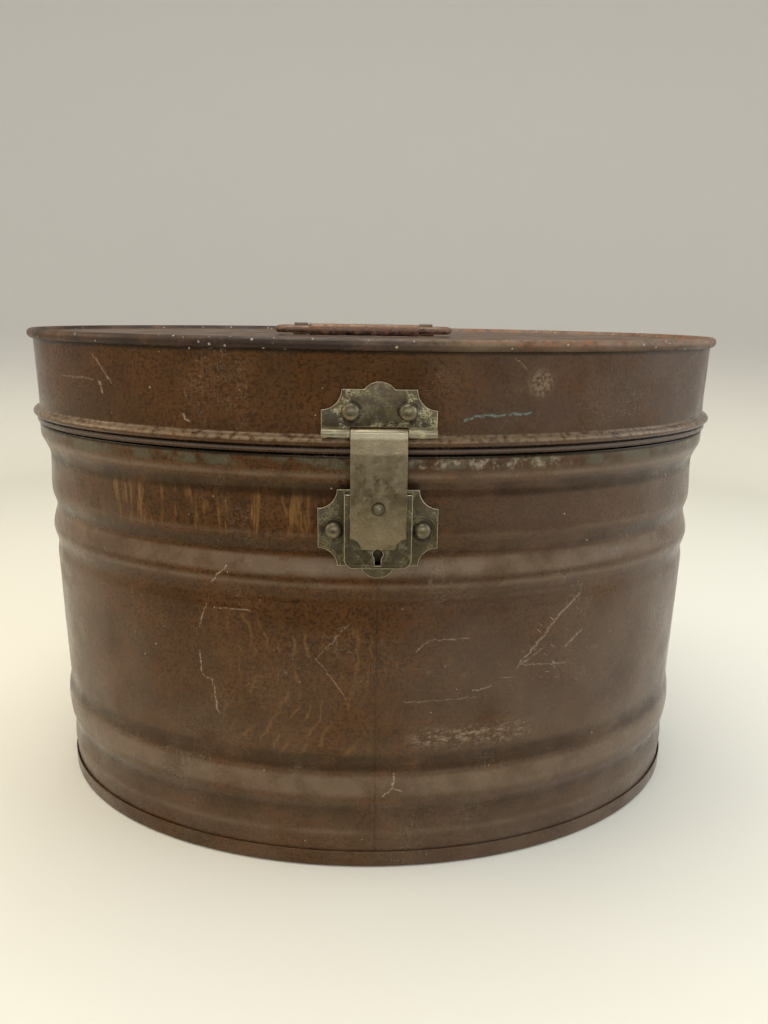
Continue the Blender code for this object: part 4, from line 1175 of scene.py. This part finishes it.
def make_lock_case(look, edge):
    """Pressed cover of the lock, with a raised line inside its edge and the keyhole."""
    front, back = CASE_LOW.y, CASE_HIGH.y
    slot_half, slot_drop = 1.1 * MM, 6.0 * MM
    key_radius, key_half, key_drop, key_rise = 2.35 * MM, 1.45 * MM, 5.6 * MM, 7.1 * MM
    cover = add_piece("lock_case", prism(cover_outline(0), front, back, "front"), (look, edge), BRASS)
    cut(cover, prism(cover_outline(PLATE), front + PLATE, back + PLATE, "front"))
    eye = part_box("hasp_staple")
    slot_low = (eye[0].z + eye[1].z) / 2 - slot_drop
    cut(cover, block((-slot_half, front - PLATE, slot_low), (slot_half, back - PLATE, CASE_HIGH.z + PLATE)))
    deep = Vector((0, 2 * PLATE, 0))
    spot = Vector((0, front, CASE_LOW.z + key_rise))
    cut(cover, rod(key_radius, spot - deep, spot + deep))
    cut(cover, block(spot - deep - Vector((key_half, 0, key_drop)), spot + deep + Vector((key_half, 0, 0))))
    bevel(cover, 0.45 * MM, 3)
    line = [(x, front + 0.05 * MM, z) for x, z in cover_outline(1.7 * MM)]
    add_meshes(cover, (look, edge), wire(line, 0.25 * MM, True, 2))


def keep(node, look):
    """A CAD node that stays, in a better material."""
    item = frame["nodes"][node]
    item.data.materials.clear()
    item.data.materials.append(look)
    item.data.shade_smooth()


# ---- rear hinge ------------------------------------------------------------------------------
def leaf_outline(axis, radius, plate_back, plate_end, side, neck):
    """Side view of a leaf: plate on the wall, joggle over the bead, curl round the pin."""
    inner = axis.y - radius
    outer = inner + PLATE
    start = math.degrees(math.acos((outer - axis.y) / radius))
    curl = arc((axis.y, axis.z), radius, side * start, -side * 180, 30)
    bend = axis.z + side * neck
    rise = inner - plate_back
    points = [(outer, bend), *curl, (inner, bend - side * 0.4 * MM)]
    points += [(plate_back, bend + side * rise), (plate_back, plate_end)]
    points += [(plate_back + PLATE, plate_end), (plate_back + PLATE, bend + side * (rise + 0.4 * MM))]
    return points


def make_rear_hinge(look, edge):
    axis = AXIS["lid_hinge"]
    knuckles = 5
    lid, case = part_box("lid_leaf"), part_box("case_leaf")
    half = lid[1].x
    radius = case[1].y - axis.y
    width = 2 * half / knuckles
    wall = HALF_DEPTH + CENTRE_Y
    leaves = (
        ("lid_leaf", wall + LID_OUT + GAP, lid[1].z, 1, 7.6 * MM, 1),
        ("case_leaf", wall, case[0].z, -1, 9.6 * MM, 0),
    )
    for node, back, end, side, neck, own in leaves:
        outline = leaf_outline(axis, radius, back, end, side, neck)
        leaf = add_piece(node, prism(outline, -half, half, "side"), (look, edge), TIN)
        reach = radius + 2 * GAP
        for index in range(knuckles):
            if index % 2 != own:
                left = -half + index * width
                cut(leaf, block((left - GAP / 2, axis.y - reach, axis.z - reach),
                                (left + width + GAP / 2, axis.y + reach, axis.z + reach)))
        past = Vector((half * 1.1, 0, 0))
        cut(leaf, rod(PIN_ROOM, axis - past, axis + past))
        bevel(leaf, 0.15 * MM)
        for tag in ("left", "right"):
            dome_rivet(f"{node}_rivet_{tag}", (0, 1, 0), LEAF_RIVET, look, TIN)


# ---- handle ----------------------------------------------------------------------------------
def make_handle(rust, look, edge):
    low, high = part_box("handle_bail")
    grip_low, grip_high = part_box("handle_grip")
    axis = AXIS["handle_pivot"]
    wire_radius = high.y - axis.y
    half = (high.x - low.x) / 2 - wire_radius
    reach = axis.y - low.y - wire_radius
    end = 31.0 * MM
    corner = 7.0 * MM
    route = [(end, 0)]
    route += arc((half - corner, -corner), corner, 90, 0, 14)
    route += arc((half - corner, -reach + corner), corner, 0, -90, 14)
    route += [(-x, y) for x, y in route][::-1]
    points = [(axis.x + x, axis.y + y, axis.z) for x, y in route]
    settle(add_piece("handle_bail", wire(points, wire_radius, False, 7), (rust,), WIRE_RUST), 45)

    grip = grip_high.z - axis.z
    length = (grip_high.x - grip_low.x) / 2
    bore = wire_radius + GAP
    profile = [(bore, -length), (grip - 0.6 * MM, -length)]
    profile += [(grip - 0.15 * MM, -length + 0.5 * MM)]
    profile += [(grip - 0.05 * MM * (1 + math.sin(k)), -length + 1.2 * MM + (2 * length - 2.4 * MM) * k / 24)
                for k in range(25)]
    profile += [(grip - 0.15 * MM, length - 0.5 * MM), (grip - 0.6 * MM, length), (bore, length)]
    centre = (axis.x, axis.y - reach, axis.z)
    settle(add_piece("handle_grip", turned(profile, centre, (1, 0, 0), 40, True), (rust,), WIRE_RUST), 45)

    room = wire_radius + 0.4 * MM
    thick = 0.8 * MM
    foot = PANEL_TOP + GAP
    start = math.degrees(math.asin((axis.z - foot - thick) / (room + thick)))
    low_angle = math.degrees(math.asin(max(foot - axis.z, -room) / room))
    outer = arc((axis.y, axis.z), room + thick, -start, 180 + start, 30)
    inner = arc((axis.y, axis.z), room, 180 - low_angle, low_angle, 30)
    for side in ("left", "right"):
        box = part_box(f"handle_loop_{side}")
        ahead = box[1].y - axis.y
        outline = [(axis.y + ahead, foot), (axis.y + ahead, foot + thick), *outer,
                   (axis.y - ahead, foot + thick), (axis.y - ahead, foot),
                   (axis.y - room, foot), *inner[1:-1], (axis.y + room, foot)]
        loop = add_piece(f"handle_loop_{side}", prism(outline, box[0].x, box[1].x, "side"), (look, edge), TIN)
        bevel(loop, 0.15 * MM)
        for place in ("front", "rear"):
            dome_rivet(f"handle_rivet_{side}_{place}", (0, 0, 1), LOOP_RIVET, look, TIN)


# ---- everything ------------------------------------------------------------------------------
make_camera()
make_light()
make_floor()
make_flag()

wall_look = make_wall_look()
lid_look = make_lid_look()
top_look = make_top_look()
inside_look = make_inside_look()
plate_look = brass_look("plate_brass", (0.118, 0.089, 0.048), (0.048, 0.037, 0.021), 0.7, 0.30, 0.45)
lock_look = brass_look("lock_brass", (0.110, 0.086, 0.048), (0.058, 0.045, 0.026), 0.22, 0.30)
strap_look = brass_look("strap_brass", (0.255, 0.202, 0.118), (0.18, 0.140, 0.082), 0.10, 0.27, 0.6)
rivet_look = brass_look("rivet_brass", (0.20, 0.165, 0.098), (0.10, 0.082, 0.050), 0.1, 0.27)
# Pale brass on the rounded edges: wear, and a painted highlight along them.
edge_look = brass_look("worn_and_lit_edge_brass", (0.62, 0.53, 0.33), (0.34, 0.28, 0.17), 0.2, 0.26)
steel_look = make_steel_look("dark_steel", (0.20, 0.18, 0.16), 0.45)
rust_look = make_steel_look("rusted_wire", (0.16, 0.11, 0.08), 0.95)

make_case(wall_look, inside_look)
make_pan(wall_look, inside_look)
make_lid_band(lid_look, inside_look)
make_lid_top(top_look, inside_look)
make_hasp_plate(plate_look, edge_look)
for side in ("left", "right"):
    dome_rivet(f"hasp_plate_rivet_{side}", (0, -1, 0), HASP_RIVET, rivet_look, BRASS)
    dome_rivet(f"lock_rivet_{side}", (0, -1, 0), LOCK_RIVET, rivet_look, BRASS)
make_hasp(strap_look, edge_look)
make_staple(rivet_look)
make_lock_plate(lock_look, edge_look)
make_lock_case(lock_look, edge_look)
for node in ("hasp_pin", "rear_hinge_pin", "lock_bolt", "bolt_spring"):
    keep(node, steel_look)
make_rear_hinge(top_look, rust_look)
make_handle(rust_look, top_look, rust_look)
